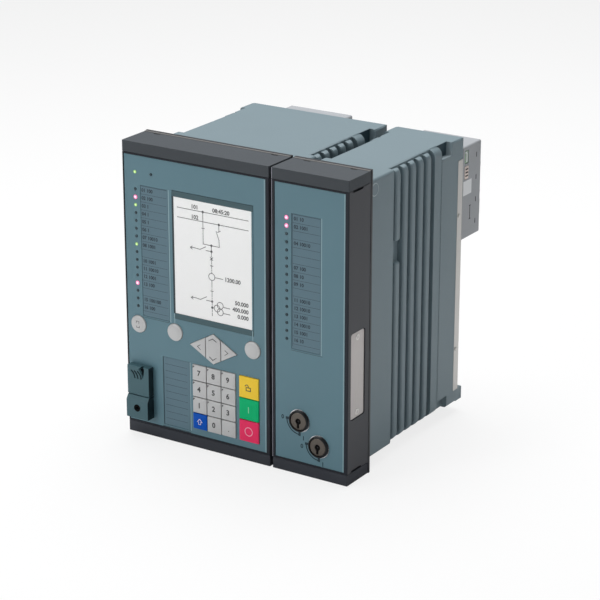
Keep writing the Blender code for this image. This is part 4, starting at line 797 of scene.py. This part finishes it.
SCREEN_LEFT, SCREEN_RIGHT = 0.05235, 0.13105
SCREEN_BOTTOM, SCREEN_TOP = 0.12025, 0.22395
SCREEN_BACK = 0.0009
# The dark left step is painted shade on the window's left wall; the right one is plain foil.
SCREEN_STEPS = (("screen_left_step", 0.0509, 0.0523, STEP_SHADE),
                ("screen_right_step", 0.1313, 0.1325, PANEL_FOIL))
LINE_WIDTH = 0.00055
DOT_RADIUS = 0.0011
SCREEN_FIGURE_SIZE = 0.0050
SCREEN_PATHS = (
    ((56.2, 215.3), (127.8, 215.3)), ((56.2, 206.8), (127.8, 206.8)),
    ((82.3, 215.3), (82.3, 187.3), (98.7, 187.3), (98.3, 193.6), (95.6, 200.7)),
    ((98.4, 206.8), (98.4, 200.8)), ((97.1, 200.2), (99.8, 201.4)), ((81.0, 201.0), (83.6, 201.0)),
    ((90.6, 187.3), (90.6, 179.6)), ((90.6, 156.7), (90.6, 150.4)),
    ((90.6, 182.1), (85.1, 182.1)), ((84.8, 185.3), (78.9, 182.0), (73.2, 182.5), (69.0, 182.2)),
    ((70.9, 183.5), (69.0, 182.2), (70.9, 180.9)), ((89.2, 176.9), (91.9, 174.5)),
    ((89.2, 174.5), (91.9, 176.9)), ((89.3, 169.5), (91.9, 169.5)), ((93.6, 159.7), (101.8, 159.7)),
    ((89.3, 147.1), (91.9, 147.1)), ((90.6, 137.9), (84.9, 137.9)),
    ((84.9, 141.0), (78.7, 137.5), (73.3, 138.1), (69.0, 137.6)),
    ((70.9, 138.9), (69.0, 137.6), (70.9, 136.3)), ((102.0, 134.8), (108.7, 134.8)),
    ((102.0, 129.4), (108.7, 129.4)), ((90.6, 132.5), (92.6, 132.5)),
)
DASH_X = 90.6
SCREEN_DASHES = (
    (178.6, 177.6), (176.6, 173.4), (172.4, 171.6), (170.6, 166.8), (165.9, 165.2), (164.3, 162.9),
    (149.4, 148.6), (147.6, 142.0), (141.0, 140.2), (139.3, 137.6), (136.6, 134.8), (133.9, 131.2),
    (130.2, 128.6), (127.6, 125.2),
)
SCREEN_DOTS = ((82.3, 215.3), (98.4, 206.8), (90.6, 187.3), (90.6, 182.1), (90.6, 137.9), (90.6, 132.5))
SCREEN_CIRCLES = ((90.6, 159.8, 3.1), (98.8, 135.7, 3.0), (95.6, 132.6, 3.0), (98.8, 129.9, 3.0))
SCREEN_FIGURES = (
    ("101", 74.0, 218.2, "CENTER"), ("102", 74.0, 209.3, "CENTER"), ("08:45:20", 100.6, 218.2, "CENTER"),
    ("1200.00", 103.6, 159.8, "LEFT"), ("50.000", 127.4, 140.9, "RIGHT"),
    ("400.000", 127.4, 135.0, "RIGHT"), ("0.000", 127.4, 129.3, "RIGHT"),
)


def make_screen():
    """The screen in its sunk window, and the line drawing of two busbars and a feeder that it shows."""
    dress("display_module", DARK_BAND)
    mesh = bmesh.new()
    rounded_block(mesh, (SCREEN_LEFT, SCREEN_FACE, SCREEN_BOTTOM), (SCREEN_RIGHT, SCREEN_BACK, SCREEN_TOP),
                  0.0001, 1)
    piece("screen_face", mesh, HOME, SCREEN)
    mesh = bmesh.new()
    for path in SCREEN_PATHS:
        strokes(mesh, shifted(0, 0, *path), LINE_WIDTH, *ON_SCREEN)
    for high, low in SCREEN_DASHES:
        strokes(mesh, shifted(0, 0, (DASH_X, low), (DASH_X, high)), LINE_WIDTH, *ON_SCREEN)
    proud = (ON_SCREEN[0] - INK / 2, SCREEN_FACE)
    for x, z in shifted(0, 0, *SCREEN_DOTS):
        disc(mesh, x, z, DOT_RADIUS, *proud, 12)
    for across, up, reach in SCREEN_CIRCLES:
        radius = reach * MILLIMETRE
        ring(mesh, across * MILLIMETRE, up * MILLIMETRE, radius - LINE_WIDTH / 2, radius + LINE_WIDTH / 2,
             *proud, 28)
    for text, across, up, align in SCREEN_FIGURES:
        figures(mesh, text, SCREEN_FIGURE_SIZE, across * MILLIMETRE, up * MILLIMETRE, *ON_SCREEN, align)
    piece("screen_drawing", mesh, HOME, SCREEN_INK)
    for name, left, right, material in SCREEN_STEPS:
        mesh = bmesh.new()
        rounded_block(mesh, (left, BAND_FACE - INK, SCREEN_BOTTOM), (right, BAND_FACE + INK, SCREEN_TOP),
                      INK / 3, 1)
        piece(name, mesh, HOME, material)


# Keys: each crown step gives a share of the size before it and a rise

KEY_FRONT = -0.0008
KEY_BACK = 0.0050
CROWN = ((0.88, 0.00016), (0.80, 0.00016), (0.70, 0.00010), (0.60, 0.00004))
NAV_CROWN = ((0.86, 0.00024), (0.78, 0.00020), (0.66, 0.00010))
PLATEAU = KEY_FRONT - 0.00046
KEY_INK = 0.00008
ON_CROWN = (PLATEAU - KEY_INK, PLATEAU + KEY_INK)
PLAIN_KEY = (SILVER_KEY, "key_silver")
COLOURED_KEYS = {"key_fn": (BLUE_KEY, "key_blue"), "key_ctrl": (YELLOW_KEY, "key_yellow"),
                 "key_close": (GREEN_KEY, "key_green"), "key_open": (RED_KEY, "key_red")}
SQUARE_KEYS = [f"key_{number}" for number in range(10)] + ["key_point", *COLOURED_KEYS]
ROUND_KEYS = {"key_select": 0.0133, "soft_key_left": 0.0518, "soft_key_right": 0.1315}
ROUND_KEY_RADIUS = 0.0078
ROUND_KEY_Z = 0.1026
ROUND_KEY_PROFILE = (
    (0, KEY_FRONT - 0.0009), (0.0020, KEY_FRONT - 0.00084), (0.0038, KEY_FRONT - 0.00066),
    (0.0054, KEY_FRONT - 0.00034), (ROUND_KEY_RADIUS - 0.0011, KEY_FRONT),
    (ROUND_KEY_RADIUS - 0.0004, KEY_FRONT + 0.0001), (ROUND_KEY_RADIUS, KEY_FRONT + 0.0006),
    (ROUND_KEY_RADIUS, KEY_BACK), (0, KEY_BACK),
)
FIGURE_SIZE = 0.0066
THIN_LINE, BOLD_LINE = 0.0005, 0.0007


def crown(mesh, steps):
    """Raise the front face in steps, each one smaller and further forward than the last."""
    face = min(mesh.faces, key=lambda each: (round(each.calc_center_median().y, 6), -each.calc_area()))
    for share, rise in steps:
        face = bmesh.ops.extrude_discrete_faces(mesh, faces=[face])["faces"][0]
        middle = face.calc_center_median()
        shrink = Matrix.Diagonal((share, 1, share, 1))
        matrix = Matrix.Translation(middle) @ shrink @ Matrix.Translation(-middle)
        bmesh.ops.transform(mesh, verts=face.verts, matrix=Matrix.Translation((0, -rise, 0)) @ matrix)


def front_edges(mesh):
    """The edges that lie in a key's front face."""
    limit = place(0, KEY_FRONT, 0).y + MERGE
    return [edge for edge in mesh.edges if all(vert.co.y < limit for vert in edge.verts)]


def finish_key(node, mesh):
    """A key's cap stands for its node and moves with it."""
    material, slot = COLOURED_KEYS.get(node, PLAIN_KEY)
    piece(f"{node}_cap", mesh, node, material, (node,), 50)


def make_square_key(node):
    mesh = bmesh.new()
    verts = block(mesh, *box_of(node))
    round_edges(mesh, edges_of(verts, lambda edge: runs_along(edge, "Y")), 0.0006, 3)
    round_edges(mesh, front_edges(mesh), 0.0004)
    crown(mesh, CROWN)
    finish_key(node, mesh)


def make_round_key(node, x):
    mesh = bmesh.new()
    turned(mesh, x, ROUND_KEY_Z, ROUND_KEY_PROFILE, 48)
    finish_key(node, mesh)


def make_nav_key(node):
    mesh = merged_copy(node)
    round_edges(mesh, front_edges(mesh), 0.0005)
    crown(mesh, NAV_CROWN)
    finish_key(node, mesh)


def finish_mark(node, mesh, material=FIGURE_INK):
    """A mark printed on a key moves with the key."""
    piece(f"{node}_mark", mesh, node, material)


def mark_key(node, draw, material=FIGURE_INK):
    """Print a mark about the middle of a key's crown."""
    mesh = bmesh.new()
    low, high = box_of(node)
    draw(mesh, (low[0] + high[0]) / 2, (low[2] + high[2]) / 2)
    finish_mark(node, mesh, material)


def number_mark(number):
    """A key's plain figure; all but the zero have a small tick in the upper left corner."""
    def draw(mesh, x, z):
        figures(mesh, str(number), FIGURE_SIZE, x - 0.0002, z, *ON_CROWN)
        if number:
            strokes(mesh, shifted(x, z, (-6.2, 4.6), (-6.0, 5.9), (-5.1, 5.6)), THIN_LINE,
                    KEY_FRONT - 0.00042, KEY_FRONT)
    return draw


def point_mark(mesh, x, z):
    disc(mesh, x + 0.0004, z - 0.0018, 0.0005, *ON_CROWN, 12)


def arrow_mark(mesh, x, z):
    strokes(mesh, shifted(x, z, (0, 2.6), (-2.6, -0.1), (-1.1, -0.1), (-1.1, -2.4), (1.1, -2.4),
                          (1.1, -0.1), (2.6, -0.1), (0, 2.6)), THIN_LINE, *ON_CROWN)


def padlock_mark(mesh, x, z):
    strokes(mesh, shifted(x, z, (-2.2, -2.4), (2.2, -2.4), (2.2, 0.4), (-2.2, 0.4), (-2.2, -2.4)),
            BOLD_LINE, *ON_CROWN)
    arc_band(mesh, x - 0.0016, z + 0.0012, 0.0012, 0.0019, *ON_CROWN, 0, 180, 10)
    strokes(mesh, shifted(x, z, (-0.05, 0.5), (-0.05, 1.2)), BOLD_LINE, *ON_CROWN)


def bar_mark(mesh, x, z):
    stroke(mesh, (x, z - 0.0024), (x, z + 0.0024), BOLD_LINE, *ON_CROWN)


def ring_mark(mesh, x, z):
    ring(mesh, x, z, 0.0034, 0.0041, PLATEAU - KEY_INK, PLATEAU + 0.0003, 36)


def select_mark(mesh, x, z):
    """A small field over a bracket."""
    for path in (((-1.6, 1.0), (-1.2, 3.0), (1.4, 2.6), (1.2, 0.6), (-0.2, 0.8)),
                 ((-1.6, -1.6), (-1.2, -2.8), (1.6, -2.8), (1.8, -1.4))):
        strokes(mesh, shifted(x, z, *path), 0.0004, KEY_FRONT - 0.00086, KEY_FRONT - 0.0005)


KEY_MARKS = (("key_point", point_mark, FIGURE_INK), ("key_fn", arrow_mark, WHITE_INK),
             ("key_ctrl", padlock_mark, FIGURE_INK), ("key_close", bar_mark, PALE_GREEN_INK),
             ("key_open", ring_mark, PALE_RED_INK), ("key_select", select_mark, FIGURE_INK))
CHEVRONS = {
    "nav_left": ((0.0759, 0.0952), ((3.1, 2.0), (0, 0), (3.1, -2.3))),
    "nav_right": ((0.1073, 0.0951), ((-3.1, 2.0), (0, 0), (-3.1, -2.3))),
    "nav_rocker": ((0.0916, 0.0952), ((-3.8, 7.4), (0, 9.7), (3.8, 7.6)),
                   ((-3.4, -7.2), (0, -9.6), (3.4, -7.2))),
}


def mark_nav_key(node, origin, *paths):
    """Arrow heads, drawn from their own origin because the key's middle isn't theirs."""
    mesh = bmesh.new()
    for path in paths:
        strokes(mesh, shifted(*origin, *path), THIN_LINE, KEY_FRONT - 0.00062, KEY_FRONT - 0.0001)
    finish_mark(node, mesh)


def make_keys():
    for node in SQUARE_KEYS:
        make_square_key(node)
    for node, x in ROUND_KEYS.items():
        make_round_key(node, x)
    for node, drawing in CHEVRONS.items():
        make_nav_key(node)
        mark_nav_key(node, *drawing)
    for number in range(10):
        mark_key(f"key_{number}", number_mark(number))
    for node, draw, material in KEY_MARKS:
        mark_key(node, draw, material)
    dress("key_mat", RUBBER)


# Key switches

LOCK_CENTRES = ((0.1780, 0.0493), (0.1971, 0.0301))
LOCK_BACK = 0.0230
RING_FRONT = -0.0024
RING_RADIUS = 0.0095
HEAD_RADIUS = 0.0076
HEAD_FRONT = -0.0020
HEAD_BACK = -0.0011
BARREL_RADIUS = 0.0060
NUT_RADIUS = 0.0078
PLAY = 0.0003
SEAT = 0.0001
KEYWAY_BACK, KEYWAY_FILL, PIN_BACK = 0.0040, 0.0038, 0.0036
ARC_RADIUS, ARC_HALF = 0.0126, 0.0005
ARC_END_LENGTH, ARC_END_WIDTH = 0.0014, 0.0022
LOCK_FIGURES = (("0", 0.1612, 0.0493), ("1", 0.1818, 0.0340), ("0", 0.1803, 0.0268), ("1", 0.2010, 0.0148))


def make_lock(number, x, z):
    """A black ring with a bright washer, and a turning barrel with its keyway."""
    body, barrel = f"lock_body_{number}", f"lock_barrel_{number}"
    bore = HEAD_RADIUS + PLAY
    mesh = bmesh.new()
    turned(mesh, x, z, [
        (bore, HEAD_BACK + PLAY), (bore, RING_FRONT + 0.0004), (bore + 0.0003, RING_FRONT),
        (RING_RADIUS - 0.0009, RING_FRONT), (RING_RADIUS - 0.0002, RING_FRONT + 0.0004),
        (RING_RADIUS, RING_FRONT + 0.0011), (RING_RADIUS, SEAT), (NUT_RADIUS, SEAT), (NUT_RADIUS, LOCK_BACK),
        (BARREL_RADIUS + PLAY, LOCK_BACK), (BARREL_RADIUS + PLAY, HEAD_BACK + PLAY),
        (bore, HEAD_BACK + PLAY)], 48)
    piece(f"{body}_ring", mesh, HOME, LOCK_RING, (body,), 40)
    mesh = bmesh.new()
    ring(mesh, x, z, RING_RADIUS - 0.0003, RING_RADIUS + 0.0006, SEAT, PANEL_FACE, 48)
    piece(f"{body}_washer", mesh, HOME, WASHER_METAL)
    mesh = bmesh.new()
    turned(mesh, x, z, [
        (0, HEAD_FRONT), (HEAD_RADIUS - 0.0007, HEAD_FRONT), (HEAD_RADIUS - 0.0001, HEAD_FRONT + 0.0003),
        (HEAD_RADIUS, HEAD_BACK), (BARREL_RADIUS, HEAD_BACK), (BARREL_RADIUS, LOCK_BACK),
        (0, LOCK_BACK)], 48)
    hole, slot = bmesh.new(), bmesh.new()
    disc(hole, x, z, 0.0027, HEAD_FRONT - CLEAR, KEYWAY_BACK)
    block(slot, (x - 0.0011, HEAD_FRONT - CLEAR, z - 0.0062), (x + 0.0011, KEYWAY_BACK, z))
    mesh = cut(cut(mesh, hole), slot)
    piece(f"{barrel}_face", mesh, barrel, BARREL_METAL, (barrel,), 40)
    # The keyway's dark fill is painted shade in the hole.
    mesh = bmesh.new()
    disc(mesh, x, z, 0.0026, HEAD_FRONT + 0.0006, KEYWAY_FILL, 20)
    block(mesh, (x - 0.0010, HEAD_FRONT + 0.0005, z - 0.0061), (x + 0.0010, KEYWAY_FILL, z))
    piece(f"{barrel}_keyway", mesh, barrel, RECESS_SHADE)
    # The pin takes the ring's near black as painted shade deep in the keyway.
    mesh = bmesh.new()
    turned(mesh, x, z, [(0, HEAD_FRONT + 0.0003), (0.0007, HEAD_FRONT + 0.0004),
                        (0.0009, HEAD_FRONT + 0.0007), (0.0009, PIN_BACK), (0, PIN_BACK)], 16)
    piece(f"{barrel}_pin", mesh, barrel, LOCK_RING)


def make_locks():
    """Both key switches, and the printed arcs from one position of the key to the other."""
    arcs = bmesh.new()
    proud = (ON_PANEL[0] - INK / 2, PANEL_FACE)
    for number, (x, z) in enumerate(LOCK_CENTRES, 1):
        make_lock(number, x, z)
        arc_band(arcs, x, z, ARC_RADIUS - ARC_HALF, ARC_RADIUS + ARC_HALF, *ON_PANEL, 178, 272, 20)
        left, bottom = x - ARC_RADIUS, z - ARC_RADIUS
        stroke(arcs, (left, z), (left + ARC_END_LENGTH, z), ARC_END_WIDTH, *proud)
        stroke(arcs, (x, bottom), (x, bottom + ARC_END_LENGTH), ARC_END_WIDTH, *proud)
    for text, x, z in LOCK_FIGURES:
        figures(arcs, text, 0.0052, x, z, *ON_PANEL)
    piece("lock_position_arcs", arcs, HOME, ARC_INK)


# Service port: the pocket's outlines are written in millimetres from the flap's upper left corner

FLAP_FRONT = -0.0066
FLAP_BACK = 0.0001
FLAP_LOW, FLAP_HIGH = 0.0391, 0.0656
FLAP_WALL = 0.0015
FLAP_SKIN = 0.0045
GRIP_STARTS = (3.75, 7.0, 10.5)
GRIP_DROP = 4.4
GRIP_RADIUS = 0.0085
GRIP_START, GRIP_END = 2, 60
POCKET = ((11.75, -2.3), (15.5, 1.2), (18.35, -1.1), (17.75, -5.9), (16.5, -11.4), (14.7, -7.6))
POCKET_FLOOR = ((14.6, -2.4), (15.7, 1.2), (17.2, -1.6), (17.0, -4.6), (16.4, -6.6), (15.6, -5.2))
LINING = 0.0001
PORT_HOLE = (0.0160, 0.0278)


def grip_arcs(mesh, half, low, high):
    """Three curved bands beside the pocket, between two depths behind the flap's face."""
    bend = math.radians(GRIP_END)
    for start in GRIP_STARTS:
        x = PORT_LEFT + start * MILLIMETRE - GRIP_RADIUS * math.cos(bend)
        z = FLAP_HIGH - GRIP_DROP * MILLIMETRE - GRIP_RADIUS * math.sin(bend)
        arc_band(mesh, x, z, GRIP_RADIUS - half, GRIP_RADIUS + half, FLAP_FRONT + low, FLAP_FRONT + high,
                 GRIP_START, GRIP_END, 12)


def pocket_rim(mesh, outline, depth, share=1.0, ceiling=math.inf):
    """A rim of the pocket at a depth behind the flap's face, drawn in about its middle by a share."""
    middle = [sum(values) / len(outline) for values in zip(*outline)]
    rim = []
    for point in outline:
        across, up = (centre + share * (value - centre) for centre, value in zip(middle, point))
        height = min(ceiling, FLAP_HIGH + up * MILLIMETRE)
        rim.append(mesh.verts.new(place(PORT_LEFT + across * MILLIMETRE, FLAP_FRONT + depth, height)))
    return rim


def flap_shade():
    """Painted shade: a dark lining on the floor and walls of the pocket, and dark bands in the grip grooves.
    """
    mesh = bmesh.new()
    ceiling = FLAP_HIGH - 0.0002
    outer = pocket_rim(mesh, POCKET, 0.0003, 0.97, ceiling)
    inner = pocket_rim(mesh, POCKET_FLOOR, 0.0034, 0.9, ceiling)
    mesh.faces.new(inner)
    for index in range(len(POCKET)):
        after = (index + 1) % len(POCKET)
        mesh.faces.new((outer[index], outer[after], inner[after], inner[index]))
    bmesh.ops.recalc_face_normals(mesh, faces=mesh.faces)
    bmesh.ops.solidify(mesh, geom=mesh.faces[:], thickness=LINING)
    grip_arcs(mesh, 0.0008, 0.0005, 0.0014)
    return mesh


def make_flap():
    """The port's flap, with a scooped finger pocket and curved grip grooves."""
    mesh = bmesh.new()
    verts = block(mesh, (PORT_LEFT, FLAP_FRONT, FLAP_LOW), (PORT_RIGHT, FLAP_BACK, FLAP_HIGH))
    top = place(0, 0, FLAP_HIGH).z - MERGE
    face = place(0, FLAP_FRONT, 0).y + MERGE
    round_edges(mesh, edges_of(verts, lambda edge: all(v.co.z > top and v.co.y < face for v in edge.verts)),
                0.0004)
    round_edges(mesh, sharp_edges(mesh, 40), 0.0002, 1)
    hollow, grooves, pocket = bmesh.new(), bmesh.new(), bmesh.new()
    block(hollow, (PORT_LEFT + FLAP_WALL, FLAP_FRONT + FLAP_SKIN, FLAP_LOW + FLAP_WALL),
          (PORT_RIGHT - FLAP_WALL, FLAP_BACK + CLEAR, FLAP_HIGH - FLAP_WALL))
    grip_arcs(grooves, 0.0007, -CLEAR, 0.0012)
    for outline, depth in ((POCKET, -0.0004), (POCKET_FLOOR, 0.0036)):
        pocket.faces.new(pocket_rim(pocket, outline, depth))
    bmesh.ops.bridge_loops(pocket, edges=pocket.edges[:])
    for tool in (hollow, grooves, pocket):
        mesh = cut(mesh, tool)
    piece("service_flap_shade", flap_shade(), "service_port_flap", POCKET_SHADE)
    piece("service_flap_cover", mesh, "service_port_flap", PORT_PLASTIC,
          ("service_port_flap",), 35)


def make_port():
    make_flap()
    soften("service_port_housing", PORT_PLASTIC, 0.0003, 2, "service_port_base")
    # A dark disc and rim in and round the port's hole: painted shade.
    mesh = bmesh.new()
    disc(mesh, *PORT_HOLE, 0.0021, -0.0075, -0.0022, 20)
    ring(mesh, *PORT_HOLE, 0.0018, 0.0033, -0.0093, -0.0088, 28)
    piece("port_hole_depth", mesh, HOME, RECESS_SHADE)
    soften("service_socket", BARE_SHEET, 0.0002, 1, "service_socket_shell")


# Side cover plate and link plug

SIDE_FACE = 0.2242
SIDE_SCREWS = ((0.0160, 0.0625), (0.0160, 0.1285))


def make_side_plate():
    soften("side_cover_plate", SIDE_SHEET, 0.0002, 1, "side_cover_finished")
    heads, slots = bmesh.new(), bmesh.new()
    for y, z in SIDE_SCREWS:
        turned_side(heads, SIDE_FACE, y, z, [(0, 0.0002), (0.0013, 0.0002), (0.0016, 0.0006),
                                             (0.0024, 0.0005), (0.0027, 0), (0, 0)])
        turned_side(slots, SIDE_FACE, y, z, [(0, 0.0003), (0.0011, 0.0003), (0.0013, 0.00015),
                                             (0, 0.00015)], 12)
    piece("side_screw_heads", heads, HOME, SCREW_METAL)
    piece("side_screw_slots", slots, HOME, FLANGE_PAINT)
    dress("module_link", TERMINAL_PLASTIC)


# Rear connectors and boards

TERMINAL_BACK = 0.2259
TERMINALS = ("base_voltage_terminal", "base_current_terminal", "expansion_voltage_terminal")
CURRENT_BOTTOM = 0.0320
CLAMP_ROWS = 7
CLAMP_PITCH = 0.0100
CLAMP_FIELD = 0.0845
CLAMP_INSET, CLAMP_HALF = 0.0130, 0.0017
SCREW_OFFSET = 0.0066
NETWORK_BACK = 0.1996
JACK_X, JACK_HALF = 0.0450, 0.0056
JACK_LEVELS = (0.0520, 0.0760)
CONTACTS, CONTACT_PITCH = 8, 0.0010
BOARDS = ("display_board", "led_board", "processor_board", "input_output_board", "expansion_board")


def make_terminal(node):
    """A terminal block with a clamp screw beside each wire entry."""
    soften(node, TERMINAL_PLASTIC, 0.0004)
    (left, _, _), (right, _, top) = box_of(node)
    bottom = CURRENT_BOTTOM if node == "base_current_terminal" else top - CLAMP_FIELD
    first = bottom + (CLAMP_FIELD - (CLAMP_ROWS - 1) * CLAMP_PITCH) / 2
    wells, screws, slots, clamps = (bmesh.new() for _ in range(4))
    for row in range(CLAMP_ROWS):
        z = first + row * CLAMP_PITCH
        for x, side in ((left + CLAMP_INSET, -1), (right - CLAMP_INSET, 1)):
            spot = x + side * SCREW_OFFSET
            ring(wells, spot, z, 0.0026, 0.0032, TERMINAL_BACK - 0.0010, TERMINAL_BACK + 0.0003, 24)
            disc(screws, spot, z, 0.0024, TERMINAL_BACK - 0.0008, TERMINAL_BACK + 0.0001, 20)
            stroke(slots, (spot - 0.0015, z - 0.0010), (spot + 0.0015, z + 0.0010), 0.0005,
                   TERMINAL_BACK - 0.0002, TERMINAL_BACK + 0.00018)
            block(clamps, (x - CLAMP_HALF, TERMINAL_BACK - 0.0120, z - CLAMP_HALF),
                  (x + CLAMP_HALF, TERMINAL_BACK - 0.0045, z + CLAMP_HALF))
    for part, mesh, material in (("wells", wells, TERMINAL_PLASTIC), ("screws", screws, SCREW_METAL),
                                 ("slots", slots, RECESS_SHADE), ("clamps", clamps, BRASS)):
        piece(f"{node}_{part}", mesh, HOME, material)


def make_network_module():
    """The network module with the shells and contacts of its two jacks."""
    soften("network_module", BARE_SHEET, 0.0003)
    shells, contacts = bmesh.new(), bmesh.new()
    for z in JACK_LEVELS:
        for x in (JACK_X - JACK_HALF, JACK_X + JACK_HALF):
            block(shells, (x - 0.0003, NETWORK_BACK - 0.0130, z - 0.0048),
                  (x + 0.0003, NETWORK_BACK - 0.0002, z + 0.0048))
        for pin in range(CONTACTS):
            x = JACK_X + (pin - (CONTACTS - 1) / 2) * CONTACT_PITCH
            block(contacts, (x - 0.0002, NETWORK_BACK - 0.0120, z + 0.0030),
                  (x + 0.0002, NETWORK_BACK - 0.0020, z + 0.0046))
    piece("network_jack_shells", shells, HOME, TERMINAL_PLASTIC)
    piece("network_jack_contacts", contacts, HOME, BRASS)


# Details of the right side and the rear plate

MARK_PLACE = (0.2220, 0.0450, 0.2462)
MARK_PROFILE = ((0.0048, -0.0002), (0.0050, 0.00018), (0.0056, 0.00018), (0.0058, -0.0002),
                (0.0048, -0.0002))
SIDE_SLOTS = (((0.2221, 0.22225), (0.1980, 0.2028), 0.0013, (0.2185, 0.2215, 0.2245)),
              ((0.22195, 0.22206), (0.2075, 0.2085), 0.0120, (0.1782,)),
              ((0.22195, 0.22206), (0.2066, 0.2094), 0.0008, (0.1778, 0.1900)),
              ((0.22195, 0.22206), (0.2174, 0.2185), 0.0044, (0.2322, 0.2119, 0.1915, 0.1716)))
SIDE_BLOCKS = {
    "green": (PALE_GREEN_PART, 0.0002, 1, ((0.2206, 0.1974, 0.2305), (0.2216, 0.2034, 0.2415))),
    "pins": (WHITE_LABEL, 0.0003, 2, ((0.2214, 0.1996, 0.2318), (0.2222, 0.2012, 0.2408)),
             ((0.2214, 0.1978, 0.2395), (0.2222, 0.2012, 0.2410))),
    "frame": (PALE_FRAME, 0.0003, 2, ((0.2206, 0.1971, 0.2163), (0.2222, 0.2037, 0.2277))),
    "label": (WHITE_LABEL, 0.0001, 1, ((0.2219, 0.1948, 0.2016), (0.22215, 0.2098, 0.2146))),
    "slots": (DARK_SLIT, 0, 0, *(((left, near, z), (right, far, z + rise))
                                 for (left, right), (near, far), rise, levels in SIDE_SLOTS for z in levels)),
    "clips": (TERMINAL_PLASTIC, 0.0003, 2, ((0.2196, 0.2240, 0.2217), (0.2217, 0.2266, 0.2259)),
              ((0.2196, 0.2240, 0.1977), (0.2217, 0.2266, 0.2007)),
              ((0.2196, 0.2240, 0.1782), (0.2217, 0.2266, 0.1915))),
}
PLATE_BACK = 0.1936
PLATE_SPANS = ((0.0030, 0.1455), (0.1540, 0.2220))
PLATE_SCREW_INSET = 0.0030
PLATE_SCREW_LEVELS = (0.0419, 0.1298)


def make_side_details():
    """The casting's round mark, and the terminal block's side windows, blank label, slots and clips."""
    mark = bmesh.new()
    turned_side(mark, *MARK_PLACE, MARK_PROFILE, 40)
    piece("casting_mark", mark, HOME, CAST_MARK)
    for part, (material, width, segments, *boxes) in SIDE_BLOCKS.items():
        mesh = bmesh.new()
        for low, high in boxes:
            if width:
                rounded_block(mesh, low, high, width, segments)
            else:
                block(mesh, low, high)
        piece(f"terminal_side_{part}", mesh, HOME, material)


def make_plate_screws():
    """Slotted screw heads at the sides of both rear plates."""
    heads, slots = bmesh.new(), bmesh.new()
    for left, right in PLATE_SPANS:
        for x in (left + PLATE_SCREW_INSET, right - PLATE_SCREW_INSET):
            for z in PLATE_SCREW_LEVELS:
                disc(heads, x, z, 0.0024, PLATE_BACK - 0.0002, PLATE_BACK + 0.0012, 20)
                stroke(slots, (x - 0.0014, z - 0.0009), (x + 0.0014, z + 0.0009), 0.0005,
                       PLATE_BACK + 0.0010, PLATE_BACK + 0.00125)
    piece("plate_screw_heads", heads, HOME, SCREW_METAL)
    piece("plate_screw_slots", slots, HOME, RECESS_SHADE)


make_casing()
make_cap_details()
for each in MODULES:
    make_housing(each)
make_lamps()
make_label_print()
make_panel_lines()
make_screen()
make_keys()
make_locks()
make_port()
make_side_plate()
for each in TERMINALS:
    make_terminal(each)
make_network_module()
make_side_details()
make_plate_screws()
for each in BOARDS:
    dress(each, BOARD)


# Stage, light and camera

def mix_shaders(tree, factor, first, second, output):
    """Mix two shaders into an output of its kind."""
    mix = tree.nodes.new("ShaderNodeMixShader")
    for socket, value in zip(mix.inputs, (factor, first, second)):
        feed(tree, socket, value)
    feed(tree, tree.nodes.new(output).inputs["Surface"], mix.outputs[0])


def make_stage():
    """A pale floor that fades to white and keeps the shadow."""
    mesh = bmesh.new()
    bmesh.ops.create_grid(mesh, x_segments=1, y_segments=1, size=12)
    data = bpy.data.meshes.new("floor")
    mesh.to_mesh(data)
    mesh.free()
    floor = add_object("floor", data)
    floor.location.z = -0.0002
    material = bpy.data.materials.new("pale_floor")
    material.use_nodes = True
    tree = material.node_tree
    tree.nodes.clear()
    rays = tree.nodes.new("ShaderNodeLightPath").outputs
    pale = add_node(tree, "ShaderNodeBsdfDiffuse", Color=(0.86, 0.86, 0.86, 1)).outputs[0]
    white = tree.nodes.new("ShaderNodeEmission").outputs[0]
    whiteness = 0.8
    mix_shaders(tree, add_math(tree, "MULTIPLY", rays["Is Camera Ray"], whiteness), pale, white,
                "ShaderNodeOutputMaterial")
    data.materials.append(material)


def make_world():
    """White behind the object, soft grey light from all round."""
    world = bpy.data.worlds.new("studio")
    bpy.context.scene.world = world
    world.use_nodes = True
    tree = world.node_tree
    tree.nodes.clear()
    rays = tree.nodes.new("ShaderNodeLightPath").outputs
    around = add_node(tree, "ShaderNodeBackground", Color=(0.96, 0.98, 1.0, 1), Strength=0.21).outputs[0]
    white = add_node(tree, "ShaderNodeBackground", Color=(1, 1, 1, 1)).outputs[0]
    mix_shaders(tree, add_math(tree, "MAXIMUM", rays["Is Camera Ray"], rays["Is Transmission Ray"]), around,
                white, "ShaderNodeOutputWorld")


def add_softbox(name, location, size, power):
    """A rectangular lamp that faces the middle of the object."""
    middle = Vector((0, 0, 0.13))
    light = bpy.data.lights.new(name, "AREA")
    light.shape = "RECTANGLE"
    light.size, light.size_y = size
    light.energy = power
    item = add_object(name, light)
    item.location = location
    item.rotation_mode = "QUATERNION"
    item.rotation_quaternion = (middle - Vector(location)).to_track_quat("-Z", "Y")


def make_lights():
    add_softbox("overhead", (-0.2, 0.3, 1.6), (1.4, 1.4), 32)
    add_softbox("front_left", (-0.85, -1.85, 0.9), (0.7, 0.9), 12.5)
    add_softbox("right_side", (1.8, -0.1, 0.8), (0.8, 1.2), 0.8)


def make_camera():
    """The photograph's view: 33 degrees to the right of the front and 20 degrees above it."""
    optics = bpy.data.cameras.new("camera")
    optics.sensor_width = 36.0
    optics.lens = 134.0
    optics.clip_start, optics.clip_end = 0.05, 60.0
    camera = add_object("camera", optics)
    turn, rise = math.radians(32.70), math.radians(19.74)
    camera.location = (0.9946, -1.5546, 0.7732)
    ahead = Vector((-math.sin(turn) * math.cos(rise), math.cos(turn) * math.cos(rise), -math.sin(rise)))
    camera.rotation_mode = "QUATERNION"
    camera.rotation_quaternion = ahead.to_track_quat("-Z", "Y")
    bpy.context.scene.camera = camera


make_stage()
make_world()
make_lights()
make_camera()
bpy.context.scene.view_settings.view_transform = "Standard"
